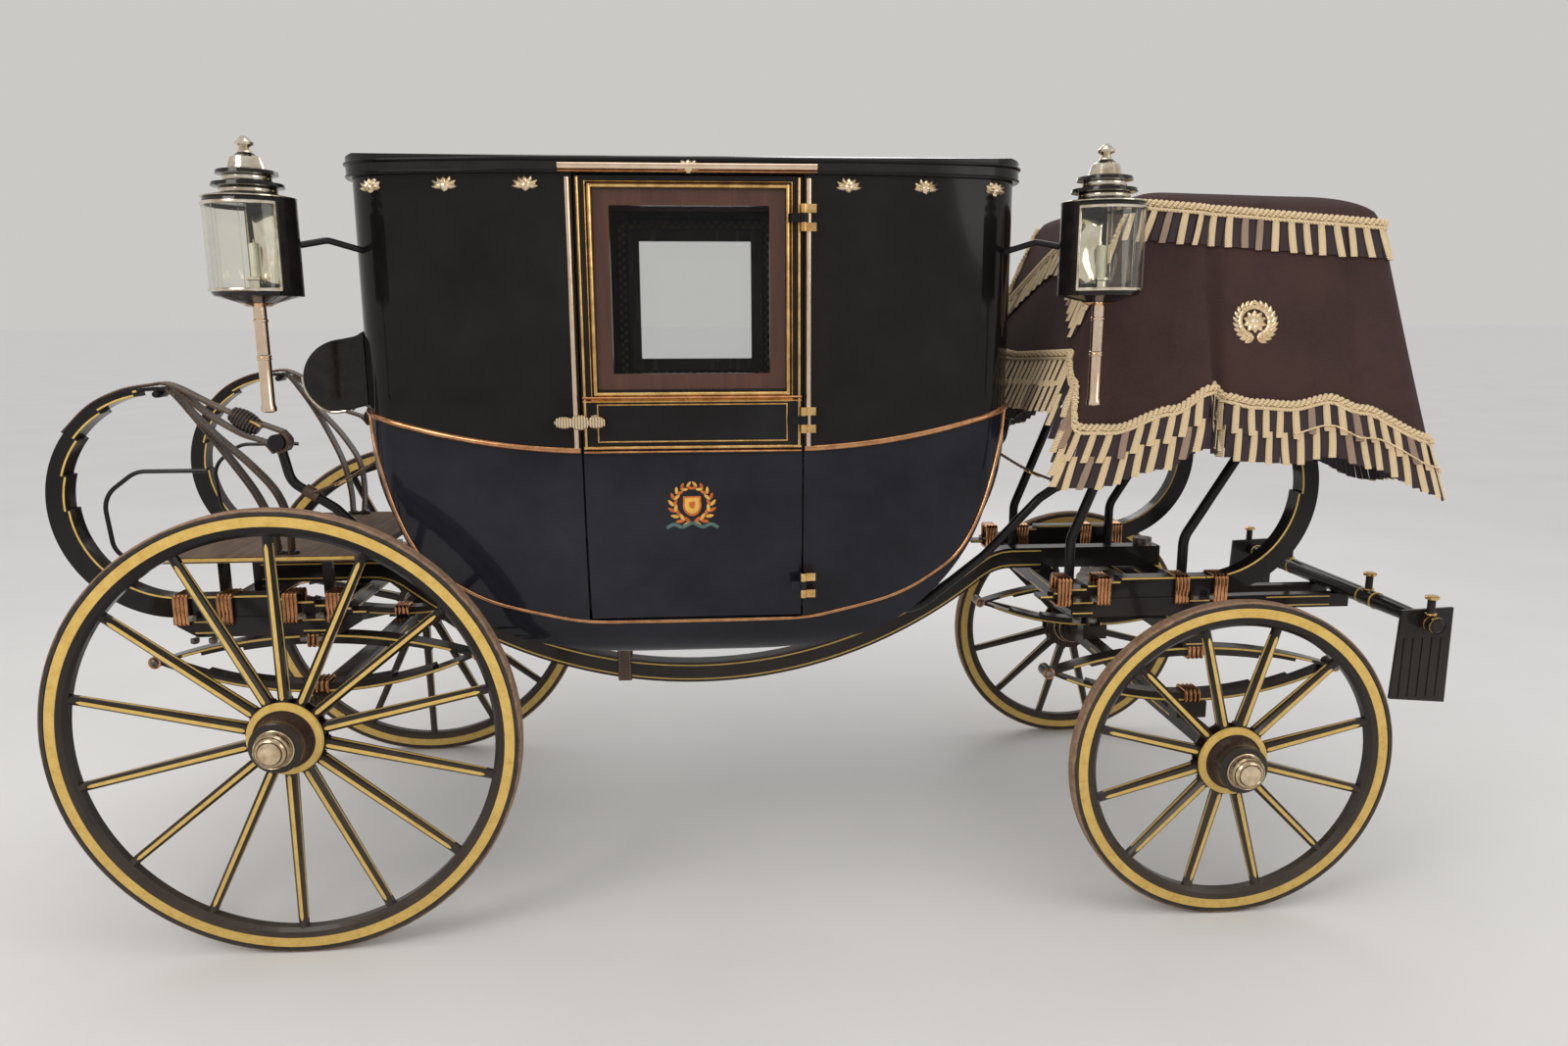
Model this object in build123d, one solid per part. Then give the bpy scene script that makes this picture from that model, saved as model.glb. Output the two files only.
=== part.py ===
from build123d import *
import math
import os

# A town coach hung on C-springs: +X forward, +Y to its left, +Z up, millimetres.
# Lengths along X are given from the middle of the doors, and every piece is moved at the end
# so that the origin is under the middle of the whole carriage, on the ground.

SEAM = 0.2  # between fitted pieces of one body
PIN_PLAY = 0.05  # radial, at pins and axle arms
END_PLAY = 1.0  # along a pin or an axle arm

# Body shell
BODY_HALF_LENGTH = 865.0
BODY_HALF_WIDTH = 600.0
BODY_WALL = 35.0
BODY_BOTTOM = 735.0
WALL_TOP = 2010.0
FLAT_SIDE = 310.0  # half of the flat stretch of side that holds the door
CORNER_START = 105.0  # in from the end wall, where the swept quarter meets the rounded corner
QUARTER_SWEEP = 55.0  # how far the quarter has come in there
BELT_DOOR = 1325.0  # height of the belt at the door
BELT_FLAT = 295.0  # half of its level stretch
BELT_END = 1425.0  # and at the end walls
FLOOR_TOP = 815.0
FLOOR_THICK = 20.0

FACE_BREAK = 0.015  # slope where a curved face leaves a flat one, so that no two only graze
# The body's outline seen from the side, downward: how far in from the end wall, and height above
# the bottom. An arc that leaves the wall nearly upright joins the first two points, and an arc
# passes through each three after that, the last of them at the middle of the body.
PROFILE_POINTS = ((0, 685), (75, 405), (200, 200), (395, 70), (625, 17))
# And seen from behind: how far in from the side, and height above the bottom
SECTION_POINTS = ((0, 610), (38, 127), (80, 40), (170, 0))

# Roof
ROOF_OVERHANG = 14.0
CORNICE_TOP = 2048.0
ROOF_CROWN = 2105.0
ROOF_THICK = 24.0

# Doors
DOOR_HALF_WIDTH = 282.5
DOOR_GAP = 5.0
DOOR_BOTTOM = 866.0
WINDOW_HALF_WIDTH = 240.0
WINDOW_BOTTOM = 1480.0
WINDOW_TOP = 1975.0
SASH_WIDTH = 40.0
SASH_THICK = 22.0
SASH_DEPTH = 7.0  # behind the door's face
GLASS_THICK = 4.0
GLASS_BITE = 8.0
HINGE_OUT = 13.0  # hinge axis outside the body's side
HINGE_PIN = 5.0
HINGE_KNUCKLE = 9.0
HINGE_HEIGHT = 66.0
HINGE_LEAF = 4.0
HINGE_REACH = 32.0
HINGE_HEIGHTS = (960.0, 1400.0, 1905.0)
DOOR_OPEN = 80.0
HANDLE_Z = 1400.0
HANDLE_SPINDLE_X = -250.0
HANDLE_STAND_OFF = 28.0
HANDLE_THICK = 14.0
HANDLE_LOBES = ((-76, 48, 30), (-36, 52, 38), (6, 48, 30))  # along the grip: place, length, height

# Seats inside
SEAT_DEPTH = 445.0  # in from the body's end wall
SEAT_TOP = 1140.0
CUSHION_THICK = 95.0
CUSHION_IN = 130.0  # its ends in from the body's side
BACK_IN = 205.0
BACK_THICK = 70.0
BACK_TOP = 1800.0

# Sword case on the back wall
CASE_DEPTH = 205.0
CASE_HALF_WIDTH = 440.0
CASE_BOTTOM = 1400.0
CASE_TOP = 1625.0

# Lamps
LAMP_BEYOND = 160.0  # past the body's end wall
LAMP_BESIDE = 80.0  # past the body's side
LAMP_RADIUS = 102.0
LAMP_OPEN_X = -20.0  # where the drum gives way to the glass, from the lamp's middle
LAMP_SHEET = 4.0
LAMP_BOTTOM = 1712.0
LAMP_TOP = 1935.0
LAMP_TUBE_BOTTOM = 1438.0
LAMP_TUBE_RADIUS = 14.0
LAMP_FINIAL_TOP = 2075.0
BRACKET_Z = 1835.0

# Wheels
REAR_AXLE_BEYOND = 195.0  # past the body's rear wall
FRONT_AXLE_BEYOND = 605.0  # past its front wall
REAR_RADIUS = 600.0
FRONT_RADIUS = 455.0
REAR_SPOKES = 14
FRONT_SPOKES = 12
WHEEL_BESIDE = 79.0  # middle of the felloe past the body's side
REAR_PHASE = 90.0  # direction of one spoke
FRONT_PHASE = 15.0
TYRE_WIDTH = 42.0
TYRE_THICK = 14.0
FELLOE_DEPTH = 54.0
FELLOE_WIDTH = 40.0
NAVE_RADIUS = 62.0
FLANGE_RADIUS = 97.0
SPOKE_ROOT = (26.0, 40.0)  # across, along the axle
SPOKE_TIP = (22.0, 26.0)
DISH = 14.0
ARM_RADIUS = 22.0
HUB_INNER = -86.0  # along the axle from the wheel's plane, outward positive
HUB_OUTER = 112.0
COLLAR_RADIUS = 66.0
COLLAR_LENGTH = 22.0
CAP_RADIUS = 47.0
CAP_LENGTH = 36.0

# Perch
PERCH_WIDTH = 56.0
PERCH_DEPTH = 66.0
PERCH_LOW = 492.0
PERCH_EASE = 150.0  # radius where the bow turns level onto the beds
PERCH_PAST_BOLT = 50.0
CHECK_X = -245.0
CHECK_WIDTH = 44.0

# Springs and beds
SPRING_Y = 400.0
LEAF_WIDTH = 50.0
LEAF_THICK = 10.0
C_RADIUS = 315.0
C_REAR_BEYOND = 550.0  # middle of the C past the body's rear wall
C_FRONT_BEYOND = 625.0
# Leaves of a C-spring from the outside in: angle reached from the bottom, straight tail
C_LEAVES = ((184, 500), (170, 460), (150, 410), (130, 360), (108, 310), (88, 260))
ELLIPTIC_HALF = 440.0
ELLIPTIC_LOW = 98.0  # eye above the lowest leaf's underside
ELLIPTIC_HIGH = 72.0  # top of the upper leaf above the eye
ELLIPTIC_LEAVES = (1.0, 0.72, 0.46)
ELLIPTIC_LEAF = 9.0
EYE_RADIUS = 17.0
AXLE_SIDE = 50.0
REAR_PAD = 4.5  # block between axle and spring
FRONT_PAD = 50.0
BED_DEPTH = 55.0
BED_WIDTH = 70.0
BED_END = 30.0  # past the middle of the spring
HIND_SPREAD = 290.0  # between the cross beam over the axle and the second one
FRONT_SPREAD = 350.0
BLOCK_WIDTH = 60.0

# Fore-carriage
STEER_RANGE = 28.0
PLATE_RADIUS = 205.0
PLATE_WIDTH = 45.0
PLATE_THICK = 12.0
PLATE_GAP = 0.5
BOLT_RADIUS = 16.0
FUTCHELL_WIDTH = 38.0
FUTCHELL_DEPTH = 45.0
FUTCHELL_SOCKET_Y = 62.0  # middle of each bar beside the pole's socket
FUTCHELL_BED_Y = 135.0  # and at the fore bed
FUTCHELL_SWAY_Y = 200.0  # and at the sway bar
FUTCHELL_REACH = 275.0  # behind the perch bolt
SWAY_WIDTH = 34.0
SPLINTER_BEYOND = 650.0  # past the perch bolt
SPLINTER_HALF = 560.0
SPLINTER_RADIUS = 26.0
SPLINTER_TIP = 20.0
SPLINTER_FULL = 260.0  # half of its full-width middle
SPLINTER_BAND = 38.0
ROLLER_BOLTS = (-520.0, -230.0, 230.0, 520.0)
ROLLER_RADIUS = 11.0
ROLLER_HEIGHT = 76.0  # above the middle of the bar
STEP_Y = 500.0
STEP_LENGTH = 170.0
STEP_DROP = 250.0
STEP_THICK = 10.0
STEP_RIBS = 5

# Braces and body loops
LOOP_Y = 400.0
LOOP_BEYOND = 255.0  # eye past the body's end wall
LOOP_EYE_Z = 1335.0
LOOP_BAR = 26.0
LOOP_OVER_SPRING = 107.3  # lowest bend above the rear spring's eyes
BRACE_THICK = 10.0

# Footmen's platform
PLATFORM_REAR_BEYOND = 665.0  # past the body's rear wall
PLATFORM_FRONT_BEYOND = 70.0
PLATFORM_HALF_WIDTH = 350.0
PLATFORM_RISE = 153.1  # top above the beds
PLATFORM_THICK = 18.0
SCROLL_RADIUS = 6.0
SCROLL_RISE = 250.0

# Coachman's seat and hammercloth
CLOTH_BOTTOM_Z = 1250.0
CLOTH_TOP_Z = 1940.0
CLOTH_HEM = (39.0, 1175.0, 620.0)  # rear and front past the body's front wall, half width
CLOTH_CROWN = (330.0, 1039.0, 460.0)
CLOTH_THICK = 12.0
BOARD_TOP = 1790.0
BOARD_THICK = 24.0
BOARD_REAR_BEYOND = 395.0  # past the body's front wall
BOARD_FRONT_BEYOND = 975.0
BOARD_HALF_WIDTH = 400.0

# Worked out from the above
BODY_PROFILE = [(BODY_HALF_LENGTH - into, BODY_BOTTOM + up) for into, up in PROFILE_POINTS]
BODY_PROFILE.append((0, BODY_BOTTOM))
BODY_SECTION = [(BODY_HALF_WIDTH - into, BODY_BOTTOM + up) for into, up in SECTION_POINTS]
QUARTER_LENGTH = BODY_HALF_LENGTH - CORNER_START - FLAT_SIDE
QUARTER_RADIUS = (QUARTER_LENGTH ** 2 + QUARTER_SWEEP ** 2) / (2 * QUARTER_SWEEP)
QUARTER_TURN = math.asin(QUARTER_LENGTH / QUARTER_RADIUS)
CORNER_RADIUS = CORNER_START / (1 - math.sin(QUARTER_TURN))
CORNER_Y = BODY_HALF_WIDTH - QUARTER_SWEEP - CORNER_RADIUS * math.cos(QUARTER_TURN)
CORNER_LOW = BODY_BOTTOM + 265.0  # below this the body's end has curved in past its corners
SEAT_FRONT = BODY_HALF_LENGTH - SEAT_DEPTH
HINGE_X = DOOR_HALF_WIDTH + DOOR_GAP / 2
HINGE_Y = BODY_HALF_WIDTH + HINGE_OUT
LAMP_X = BODY_HALF_LENGTH + LAMP_BEYOND
LAMP_Y = BODY_HALF_WIDTH + LAMP_BESIDE
WHEEL_Y = BODY_HALF_WIDTH + WHEEL_BESIDE
REAR_AXLE_X = -BODY_HALF_LENGTH - REAR_AXLE_BEYOND
FRONT_AXLE_X = BODY_HALF_LENGTH + FRONT_AXLE_BEYOND
C_REAR_X = -BODY_HALF_LENGTH - C_REAR_BEYOND
C_FRONT_X = BODY_HALF_LENGTH + C_FRONT_BEYOND
SPLINTER_X = FRONT_AXLE_X + SPLINTER_BEYOND
LOOP_EYE_X = BODY_HALF_LENGTH + LOOP_BEYOND
PLATFORM_REAR = -BODY_HALF_LENGTH - PLATFORM_REAR_BEYOND
PLATFORM_FRONT = -BODY_HALF_LENGTH - PLATFORM_FRONT_BEYOND
CLOTH_BOTTOM = (BODY_HALF_LENGTH + CLOTH_HEM[0], BODY_HALF_LENGTH + CLOTH_HEM[1], CLOTH_HEM[2])
CLOTH_TOP = (BODY_HALF_LENGTH + CLOTH_CROWN[0], BODY_HALF_LENGTH + CLOTH_CROWN[1], CLOTH_CROWN[2])
BOARD_REAR = BODY_HALF_LENGTH + BOARD_REAR_BEYOND
BOARD_FRONT = BODY_HALF_LENGTH + BOARD_FRONT_BEYOND
REAR_EYE_Z = REAR_RADIUS + AXLE_SIDE / 2 + REAR_PAD + ELLIPTIC_LOW + SEAM
FRONT_EYE_Z = FRONT_RADIUS + AXLE_SIDE / 2 + FRONT_PAD + ELLIPTIC_LOW + SEAM
FRONT_SPRING_TOP = FRONT_EYE_Z + ELLIPTIC_HIGH
BED_HALF = SPRING_Y + BED_END
BED_BOTTOM = REAR_EYE_Z + ELLIPTIC_HIGH + SEAM
BED_TOP = BED_BOTTOM + BED_DEPTH
C_CENTRE_Z = BED_TOP + SEAM + C_RADIUS
PLATFORM_TOP = BED_TOP + PLATFORM_RISE
UPPER_PLATE_TOP = BED_BOTTOM - SEAM
LOWER_PLATE_TOP = UPPER_PLATE_TOP - PLATE_THICK - PLATE_GAP
FORE_BED_TOP = LOWER_PLATE_TOP - PLATE_THICK - SEAM
FUTCHELL_Z = (FRONT_SPRING_TOP + FORE_BED_TOP) / 2
SPLINTER_Z = FUTCHELL_Z + FUTCHELL_DEPTH / 2 + SPLINTER_RADIUS + SEAM
PERCH_LEVEL = BED_TOP + SEAM
PERCH_LEVEL_X = min(-REAR_AXLE_X, FRONT_AXLE_X - FRONT_SPREAD) - BED_WIDTH / 2 - 5
PERCH_TURN = 2 * math.atan((PERCH_LEVEL - PERCH_LOW) / PERCH_LEVEL_X)
PERCH_RADIUS = PERCH_LEVEL_X / math.sin(PERCH_TURN) - PERCH_EASE
STEP_FRONT_X = SPLINTER_X + STEP_LENGTH / 2
REAR_END_X = C_REAR_X - C_RADIUS
MIDDLE_X = (REAR_END_X + STEP_FRONT_X) / 2
SIDES = (-1, 1)  # right, left; or rear, front
FAR = 3000.0


def side_prism(sketch, half=FAR):
    """A sketch of x and z, given thickness across the carriage."""
    return extrude(Plane.XZ * sketch, amount=half, both=True)


def end_prism(sketch, half=FAR):
    """A sketch of y and z, given thickness along the carriage."""
    return extrude(Plane.YZ * sketch, amount=half, both=True)


def block(x, y, z):
    """A box between two limits on each axis."""
    size = [abs(high - low) for low, high in (x, y, z)]
    centre = [(high + low) / 2 for low, high in (x, y, z)]
    return Pos(*centre) * Box(*size)


def standing(radius, height):
    """A cylinder on the plane z = 0."""
    return Cylinder(radius, height, align=(Align.CENTER, Align.CENTER, Align.MIN))


def both_sides(piece):
    return [piece, mirror(piece, about=Plane.XZ)]


def both_ends(piece):
    return [piece, mirror(piece, about=Plane.YZ)]


def rod(points, radius, bends):
    """A round bar along straight runs with rounded bends."""
    path = FilletPolyline(*points, radius=bends)
    return sweep(Plane(path @ 0, z_dir=path % 0) * Circle(radius), path=path)


# Body

def body_plan():
    side = Line((0, BODY_HALF_WIDTH), (FLAT_SIDE, BODY_HALF_WIDTH))
    quarter_end = (BODY_HALF_LENGTH - CORNER_START, BODY_HALF_WIDTH - QUARTER_SWEEP)
    quarter = TangentArc(side @ 1, quarter_end, tangent=(1, 0))
    corner = TangentArc(quarter_end, (BODY_HALF_LENGTH, CORNER_Y), tangent=quarter % 1)
    wall = Line(corner @ 1, (BODY_HALF_LENGTH, 0))
    corner_to_corner = Curve() + [side, quarter, corner, wall]
    half = corner_to_corner + mirror(corner_to_corner, about=Plane.YZ)
    return make_face(half + mirror(half, about=Plane.XZ))


def mirrored_outline(points, top):
    """Closed outline of arcs down one side, across the bottom and up the other."""
    edges = [TangentArc(points[0], points[1], tangent=(-FACE_BREAK, -1))]
    edges += [ThreePointArc(*points[start:start + 3]) for start in range(1, len(points) - 2, 2)]
    first = edges[0] @ 0
    last = edges[-1] @ 1
    edges.append(Line((first.X, top), (first.X, first.Y)))
    if last.X > 0:
        edges.append(Line((last.X, last.Y), (0, last.Y)))
    edges.append(Line((0, top), (first.X, top)))
    half = Curve() + edges
    return make_face(half + mirror(half, about=Plane.YZ))


def moved_in(points, inset):
    """The points of an outline, each moved square to it towards the inside."""
    moved = [(points[0][0] - inset, points[0][1])]
    for before, point, after in zip(points, points[1:], points[2:]):
        run = Vector(after[0] - before[0], after[1] - before[1]).normalized()
        moved.append((point[0] + run.Y * inset, point[1] - run.X * inset))
    moved.append((points[-1][0], points[-1][1] + inset))
    return moved


def outside_section(points):
    """What lies outside the body's section on one side, drawn in y and z."""
    (wall, waist), (foot, low) = points[0], points[-1]
    under = low - 90
    far = BODY_HALF_WIDTH + 150
    curve = [TangentArc(points[0], points[1], tangent=(-FACE_BREAK, -1)), ThreePointArc(*points[1:4])]
    close = Polyline((foot, low), (foot, under), (far, under), (far, waist), (wall, waist))
    return make_face(Curve() + curve + [close])


def turn_under(inset):
    """Cutters that curve the sides in below the waist: along the door, round the quarter and the corner."""
    outside = Plane.YZ * outside_section(moved_in(BODY_SECTION, inset))
    along = extrude(outside, amount=FLAT_SIDE)
    at_door = Pos(FLAT_SIDE, 0, 0) * outside
    quarter_axis = Axis((FLAT_SIDE, BODY_HALF_WIDTH - QUARTER_RADIUS, 0), (0, 0, -1))
    round_quarter = revolve(at_door, quarter_axis, math.degrees(QUARTER_TURN))
    high = at_door & block((0, FAR), (0, FAR), (CORNER_LOW, FAR))
    at_corner = high.rotate(quarter_axis, math.degrees(QUARTER_TURN))
    corner_axis = Axis((BODY_HALF_LENGTH - CORNER_RADIUS, CORNER_Y, 0), (0, 0, -1))
    round_corner = revolve(at_corner, corner_axis, 90 - math.degrees(QUARTER_TURN))
    cutters = []
    for cutter in (along, round_quarter, round_corner):
        for one in both_ends(cutter):
            cutters += both_sides(one)
    return cutters


def body_solid(inset):
    """The body's outer form, or with an inset the hollow inside its walls."""
    plan = body_plan()
    if inset:
        plan = offset(plan, amount=-inset)
    profile = mirrored_outline(moved_in(BODY_PROFILE, inset), FAR)
    solid = extrude(plan, amount=WALL_TOP) & side_prism(profile, BODY_HALF_WIDTH + 50)
    for cutter in turn_under(inset):
        solid -= cutter
    floor = BODY_SECTION[-1][1] + inset
    return solid & block((-FAR, FAR), (-FAR, FAR), (floor, FAR))


def below_belt(raised=0.0):
    belt = ThreePointArc(
        (BELT_FLAT, BELT_DOOR),
        ((BELT_FLAT + BODY_HALF_LENGTH) / 2, BELT_DOOR + 0.30 * (BELT_END - BELT_DOOR)),
        (BODY_HALF_LENGTH + 10, BELT_END),
    )
    edges = [
        Line((0, BELT_DOOR), belt @ 0),
        belt,
        Line(belt @ 1, (BODY_HALF_LENGTH + 10, 0)),
        Line((BODY_HALF_LENGTH + 10, 0), (0, 0)),
    ]
    half = Curve() + edges
    return side_prism(Pos(0, raised) * make_face(half + mirror(half, about=Plane.YZ)))


def door_opening():
    half = DOOR_HALF_WIDTH + DOOR_GAP
    return block((-half, half), (-FAR, FAR), (DOOR_BOTTOM - DOOR_GAP, WALL_TOP + 1))


def body_shell():
    return body_solid(0) - body_solid(BODY_WALL)


def lower_panels(shell):
    return (shell & below_belt()) - door_opening()


def upper_panels(shell, end):
    """The two quarters and the wall of one end, above the belt."""
    above = (shell - below_belt(SEAM)) - door_opening()
    return above & block((0, end * FAR), (-FAR, FAR), (0, FAR))


def crown(height):
    """A solid under a roof surface that is arched across and a little along."""
    across = (BODY_HALF_WIDTH + ROOF_OVERHANG, CORNICE_TOP)
    along = (BODY_HALF_LENGTH + ROOF_OVERHANG, CORNICE_TOP + 12)
    shapes = []
    for half, edge in (across, along):
        sag = ROOF_CROWN - edge
        radius = (half ** 2 + sag ** 2) / (2 * sag)
        reach = half + 30
        end_z = height - radius + math.sqrt(radius ** 2 - reach ** 2)
        arc = ThreePointArc((-reach, end_z), (0, height), (reach, end_z))
        low = Polyline(arc @ 1, (reach, 0), (-reach, 0), arc @ 0)
        shapes.append(make_face(Curve() + [arc, low]))
    return end_prism(shapes[0]) & side_prism(shapes[1])


def roof_panel():
    outer = extrude(offset(body_plan(), amount=ROOF_OVERHANG), amount=FAR) & crown(ROOF_CROWN)
    outer = outer & block((-FAR, FAR), (-FAR, FAR), (WALL_TOP + SEAM, FAR))
    hollow = extrude(offset(body_plan(), amount=-BODY_WALL), amount=FAR) & crown(ROOF_CROWN - ROOF_THICK)
    return outer - hollow


def floor_boards():
    slab = block((-FAR, FAR), (-FAR, FAR), (FLOOR_TOP - FLOOR_THICK, FLOOR_TOP))
    return body_solid(BODY_WALL + SEAM) & slab


def seat_boxes(cavity):
    box = cavity & block((SEAT_FRONT, FAR), (-FAR, FAR), (FLOOR_TOP + SEAM, SEAT_TOP))
    return both_ends(box)


def seat_cushions():
    wall = BODY_HALF_LENGTH - BODY_WALL
    low = SEAT_TOP + 0.3
    half = BODY_HALF_WIDTH - CUSHION_IN
    cushion = block((SEAT_FRONT - 12, wall - 95), (-half, half), (low, low + CUSHION_THICK))
    cushion = fillet(cushion.edges().group_by(Axis.Z)[-1], 22)
    return both_ends(cushion)


def seat_backs(cavity):
    wall = BODY_HALF_LENGTH - BODY_WALL - 0.3
    low = SEAT_TOP + CUSHION_THICK + 30
    half = BODY_HALF_WIDTH - BACK_IN
    back = block((wall - BACK_THICK, wall), (-half, half), (low, BACK_TOP))
    back = fillet(back.edges().group_by(Axis.X)[0], 20)
    return both_ends(back & cavity)


def sword_case():
    """Rounded case across the back wall, for long things carried behind the seat."""
    wall = BODY_HALF_LENGTH + SEAM
    middle = (CASE_TOP + CASE_BOTTOM) / 2
    outline = Curve() + [
        Line((wall, CASE_BOTTOM + 30), (wall, CASE_TOP)),
        Line((wall, CASE_TOP), (wall + 70, CASE_TOP)),
        ThreePointArc((wall + 70, CASE_TOP), (wall + CASE_DEPTH, middle + 10), (wall + 120, CASE_BOTTOM)),
        Line((wall + 120, CASE_BOTTOM), (wall, CASE_BOTTOM + 30)),
    ]
    case = side_prism(make_face(outline), CASE_HALF_WIDTH)
    return mirror(case, about=Plane.YZ)


# Doors: the right door is drawn and the left is its mirror

def door_panel(shell):
    half = DOOR_HALF_WIDTH
    panel = shell & block((-half, half), (-FAR, 0), (DOOR_BOTTOM, WALL_TOP - DOOR_GAP))
    panel &= Pos(HINGE_X, -HINGE_Y, 0) * standing(HINGE_X + half, FAR)
    window = block((-WINDOW_HALF_WIDTH, WINDOW_HALF_WIDTH), (-FAR, 0), (WINDOW_BOTTOM, WINDOW_TOP))
    panel -= window
    for z in HINGE_HEIGHTS:
        panel += door_knuckle(z)
    return panel


def face_y(z):
    """How far out the body's side is at a height."""
    (wall, high), (foot, low) = BODY_SECTION[:2]
    drop = max(0.0, high - z)
    radius = ((wall - foot) ** 2 + (high - low) ** 2) / (2 * (wall - foot))
    return wall - radius + math.sqrt(radius ** 2 - drop ** 2)


def knuckle(low, high):
    return Pos(HINGE_X, -HINGE_Y, low) * standing(HINGE_KNUCKLE, high - low)


def hinge_leaf(z, towards, low, high):
    """A leaf from the knuckle back to the body's side."""
    face = face_y(z)
    outer = HINGE_Y + HINGE_LEAF / 2
    start = HINGE_X + towards * 3
    end = HINGE_X + towards * HINGE_REACH
    return block((start, end), (-outer, -face + 6), (low, high))


def door_knuckle(z):
    third = HINGE_HEIGHT / 6
    bore = Pos(HINGE_X, -HINGE_Y, z) * Cylinder(HINGE_PIN + PIN_PLAY, HINGE_HEIGHT)
    solid = knuckle(z - third, z + third) + hinge_leaf(z, -1, z - third, z + third)
    return solid - bore


def hinge_pins(outside):
    """Pins and outer knuckles on the front pillar, with the leaf behind each."""
    third = HINGE_HEIGHT / 6
    hinges = []
    for z in HINGE_HEIGHTS:
        solid = Pos(HINGE_X, -HINGE_Y, z) * Cylinder(HINGE_PIN, HINGE_HEIGHT)
        for low, high in ((z - 3 * third, z - third - END_PLAY), (z + third + END_PLAY, z + 3 * third)):
            leaf = hinge_leaf(z, 1, low, high)
            solid += knuckle(low, high) + leaf
        hinges.append(solid - outside)
    return hinges


def sash_opening(inset):
    x = WINDOW_HALF_WIDTH - inset
    return (-x, x), (WINDOW_BOTTOM + inset, WINDOW_TOP - inset)


def window_sash():
    out = -BODY_HALF_WIDTH + SASH_DEPTH
    x, z = sash_opening(SEAM)
    frame = block(x, (out, out + SASH_THICK), z)
    x, z = sash_opening(SASH_WIDTH)
    frame -= block(x, (-FAR, 0), z)
    return frame - window_glass(SEAM)


def window_glass(play=0.0):
    middle = -BODY_HALF_WIDTH + SASH_DEPTH + SASH_THICK / 2
    x, z = sash_opening(SASH_WIDTH - GLASS_BITE - play)
    half = GLASS_THICK / 2 + play
    return block(x, (middle - half, middle + half), z)


def door_handle():
    """Flat grip of three lobes on a short spindle, reaching over the lock pillar."""
    face = -BODY_HALF_WIDTH - SEAM
    grip = Sketch()
    for shift, length, height in HANDLE_LOBES:
        grip += Pos(shift, 0) * Ellipse(length / 2, height / 2)
    grip = chamfer(extrude(grip, amount=HANDLE_THICK / 2, both=True).edges().filter_by(Plane.XY), 3)
    handle = Pos(0, -HANDLE_STAND_OFF, 0) * Rot(90, 0, 0) * grip
    handle += Pos(0, -HANDLE_STAND_OFF / 2, 0) * Rot(90, 0, 0) * Cylinder(8, HANDLE_STAND_OFF)
    handle += Pos(0, -3, 0) * Rot(90, 0, 0) * Cylinder(17, 6)
    return Pos(HANDLE_SPINDLE_X, face, HANDLE_Z) * handle


# Lamps

def lamp_case():
    """Japanned lantern: half drum behind the glass, base, chimney in two tiers, candle tube."""
    r = LAMP_RADIUS
    outline = [
        (0, LAMP_TUBE_BOTTOM), (LAMP_TUBE_RADIUS, LAMP_TUBE_BOTTOM + 8), (LAMP_TUBE_RADIUS, LAMP_BOTTOM - 20),
        (40, LAMP_BOTTOM - 16), (r - 8, LAMP_BOTTOM), (r, LAMP_BOTTOM + 12), (0, LAMP_BOTTOM + 12),
    ]
    base = revolve(Plane.XZ * make_face(Polyline(*outline, close=True)))
    top = [
        (0, LAMP_TOP - 12), (r, LAMP_TOP - 12), (r - 4, LAMP_TOP), (r - 40, LAMP_TOP + 8),
        (r - 40, LAMP_TOP + 24), (r - 22, LAMP_TOP + 26), (r - 24, LAMP_TOP + 34), (r - 50, LAMP_TOP + 38),
        (r - 50, LAMP_TOP + 52), (r - 34, LAMP_TOP + 54), (r - 36, LAMP_TOP + 62), (r - 62, LAMP_TOP + 68),
        (r - 70, LAMP_TOP + 92), (16, LAMP_TOP + 104), (10, LAMP_TOP + 116), (20, LAMP_TOP + 126),
        (12, LAMP_FINIAL_TOP - 6), (0, LAMP_FINIAL_TOP),
    ]
    head = revolve(Plane.XZ * make_face(Polyline(*top, close=True)))
    drum = Pos(0, 0, LAMP_BOTTOM) * standing(r, LAMP_TOP - LAMP_BOTTOM) - standing(r - LAMP_SHEET, FAR)
    drum &= block((-FAR, LAMP_OPEN_X), (-FAR, FAR), (0, FAR))
    return base + head + drum


def lamp_glass():
    """Curved glass over the open side of the drum."""
    r = LAMP_RADIUS - 2
    height = LAMP_TOP - LAMP_BOTTOM - 24 - 2 * SEAM
    tube = Cylinder(r, height) - Cylinder(r - 3, height)
    tube = Pos(0, 0, (LAMP_TOP + LAMP_BOTTOM) / 2) * tube
    return tube & block((LAMP_OPEN_X + SEAM, FAR), (-FAR, FAR), (0, FAR))


def at_lamps(piece):
    """Four copies, with the glass facing outward and away from the body."""
    one = Pos(LAMP_X, LAMP_Y, 0) * Rot(0, 0, 40) * piece
    return [copy for end in both_ends(one) for copy in both_sides(end)]


def lamp_brackets():
    """Iron arm from the body's corner pillar to the back of each lamp."""
    back = math.radians(220)
    reach = LAMP_RADIUS + SEAM
    lamp_end = (LAMP_X + reach * math.cos(back), LAMP_Y + reach * math.sin(back), BRACKET_Z)
    body_end = (BODY_HALF_LENGTH - 65, BODY_HALF_WIDTH - 130, BRACKET_Z - 14)
    middle = (BODY_HALF_LENGTH + 30, BODY_HALF_WIDTH - 40, BRACKET_Z + 16)
    arm = rod((lamp_end, middle, body_end), 8, 40)
    arm -= body_solid(-SEAM)
    arm -= Pos(LAMP_X, LAMP_Y, BRACKET_Z) * Cylinder(reach, 200)
    return [copy for end in both_ends(arm) for copy in both_sides(end)]


# Wheels, drawn with the axle along Y and the outer side towards +Y

def turned(points):
    """A solid turned about the Y axis from a list of radius, y."""
    face = make_face(Polyline(*points, close=True))
    return revolve(face, axis=Axis.Y)


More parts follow.
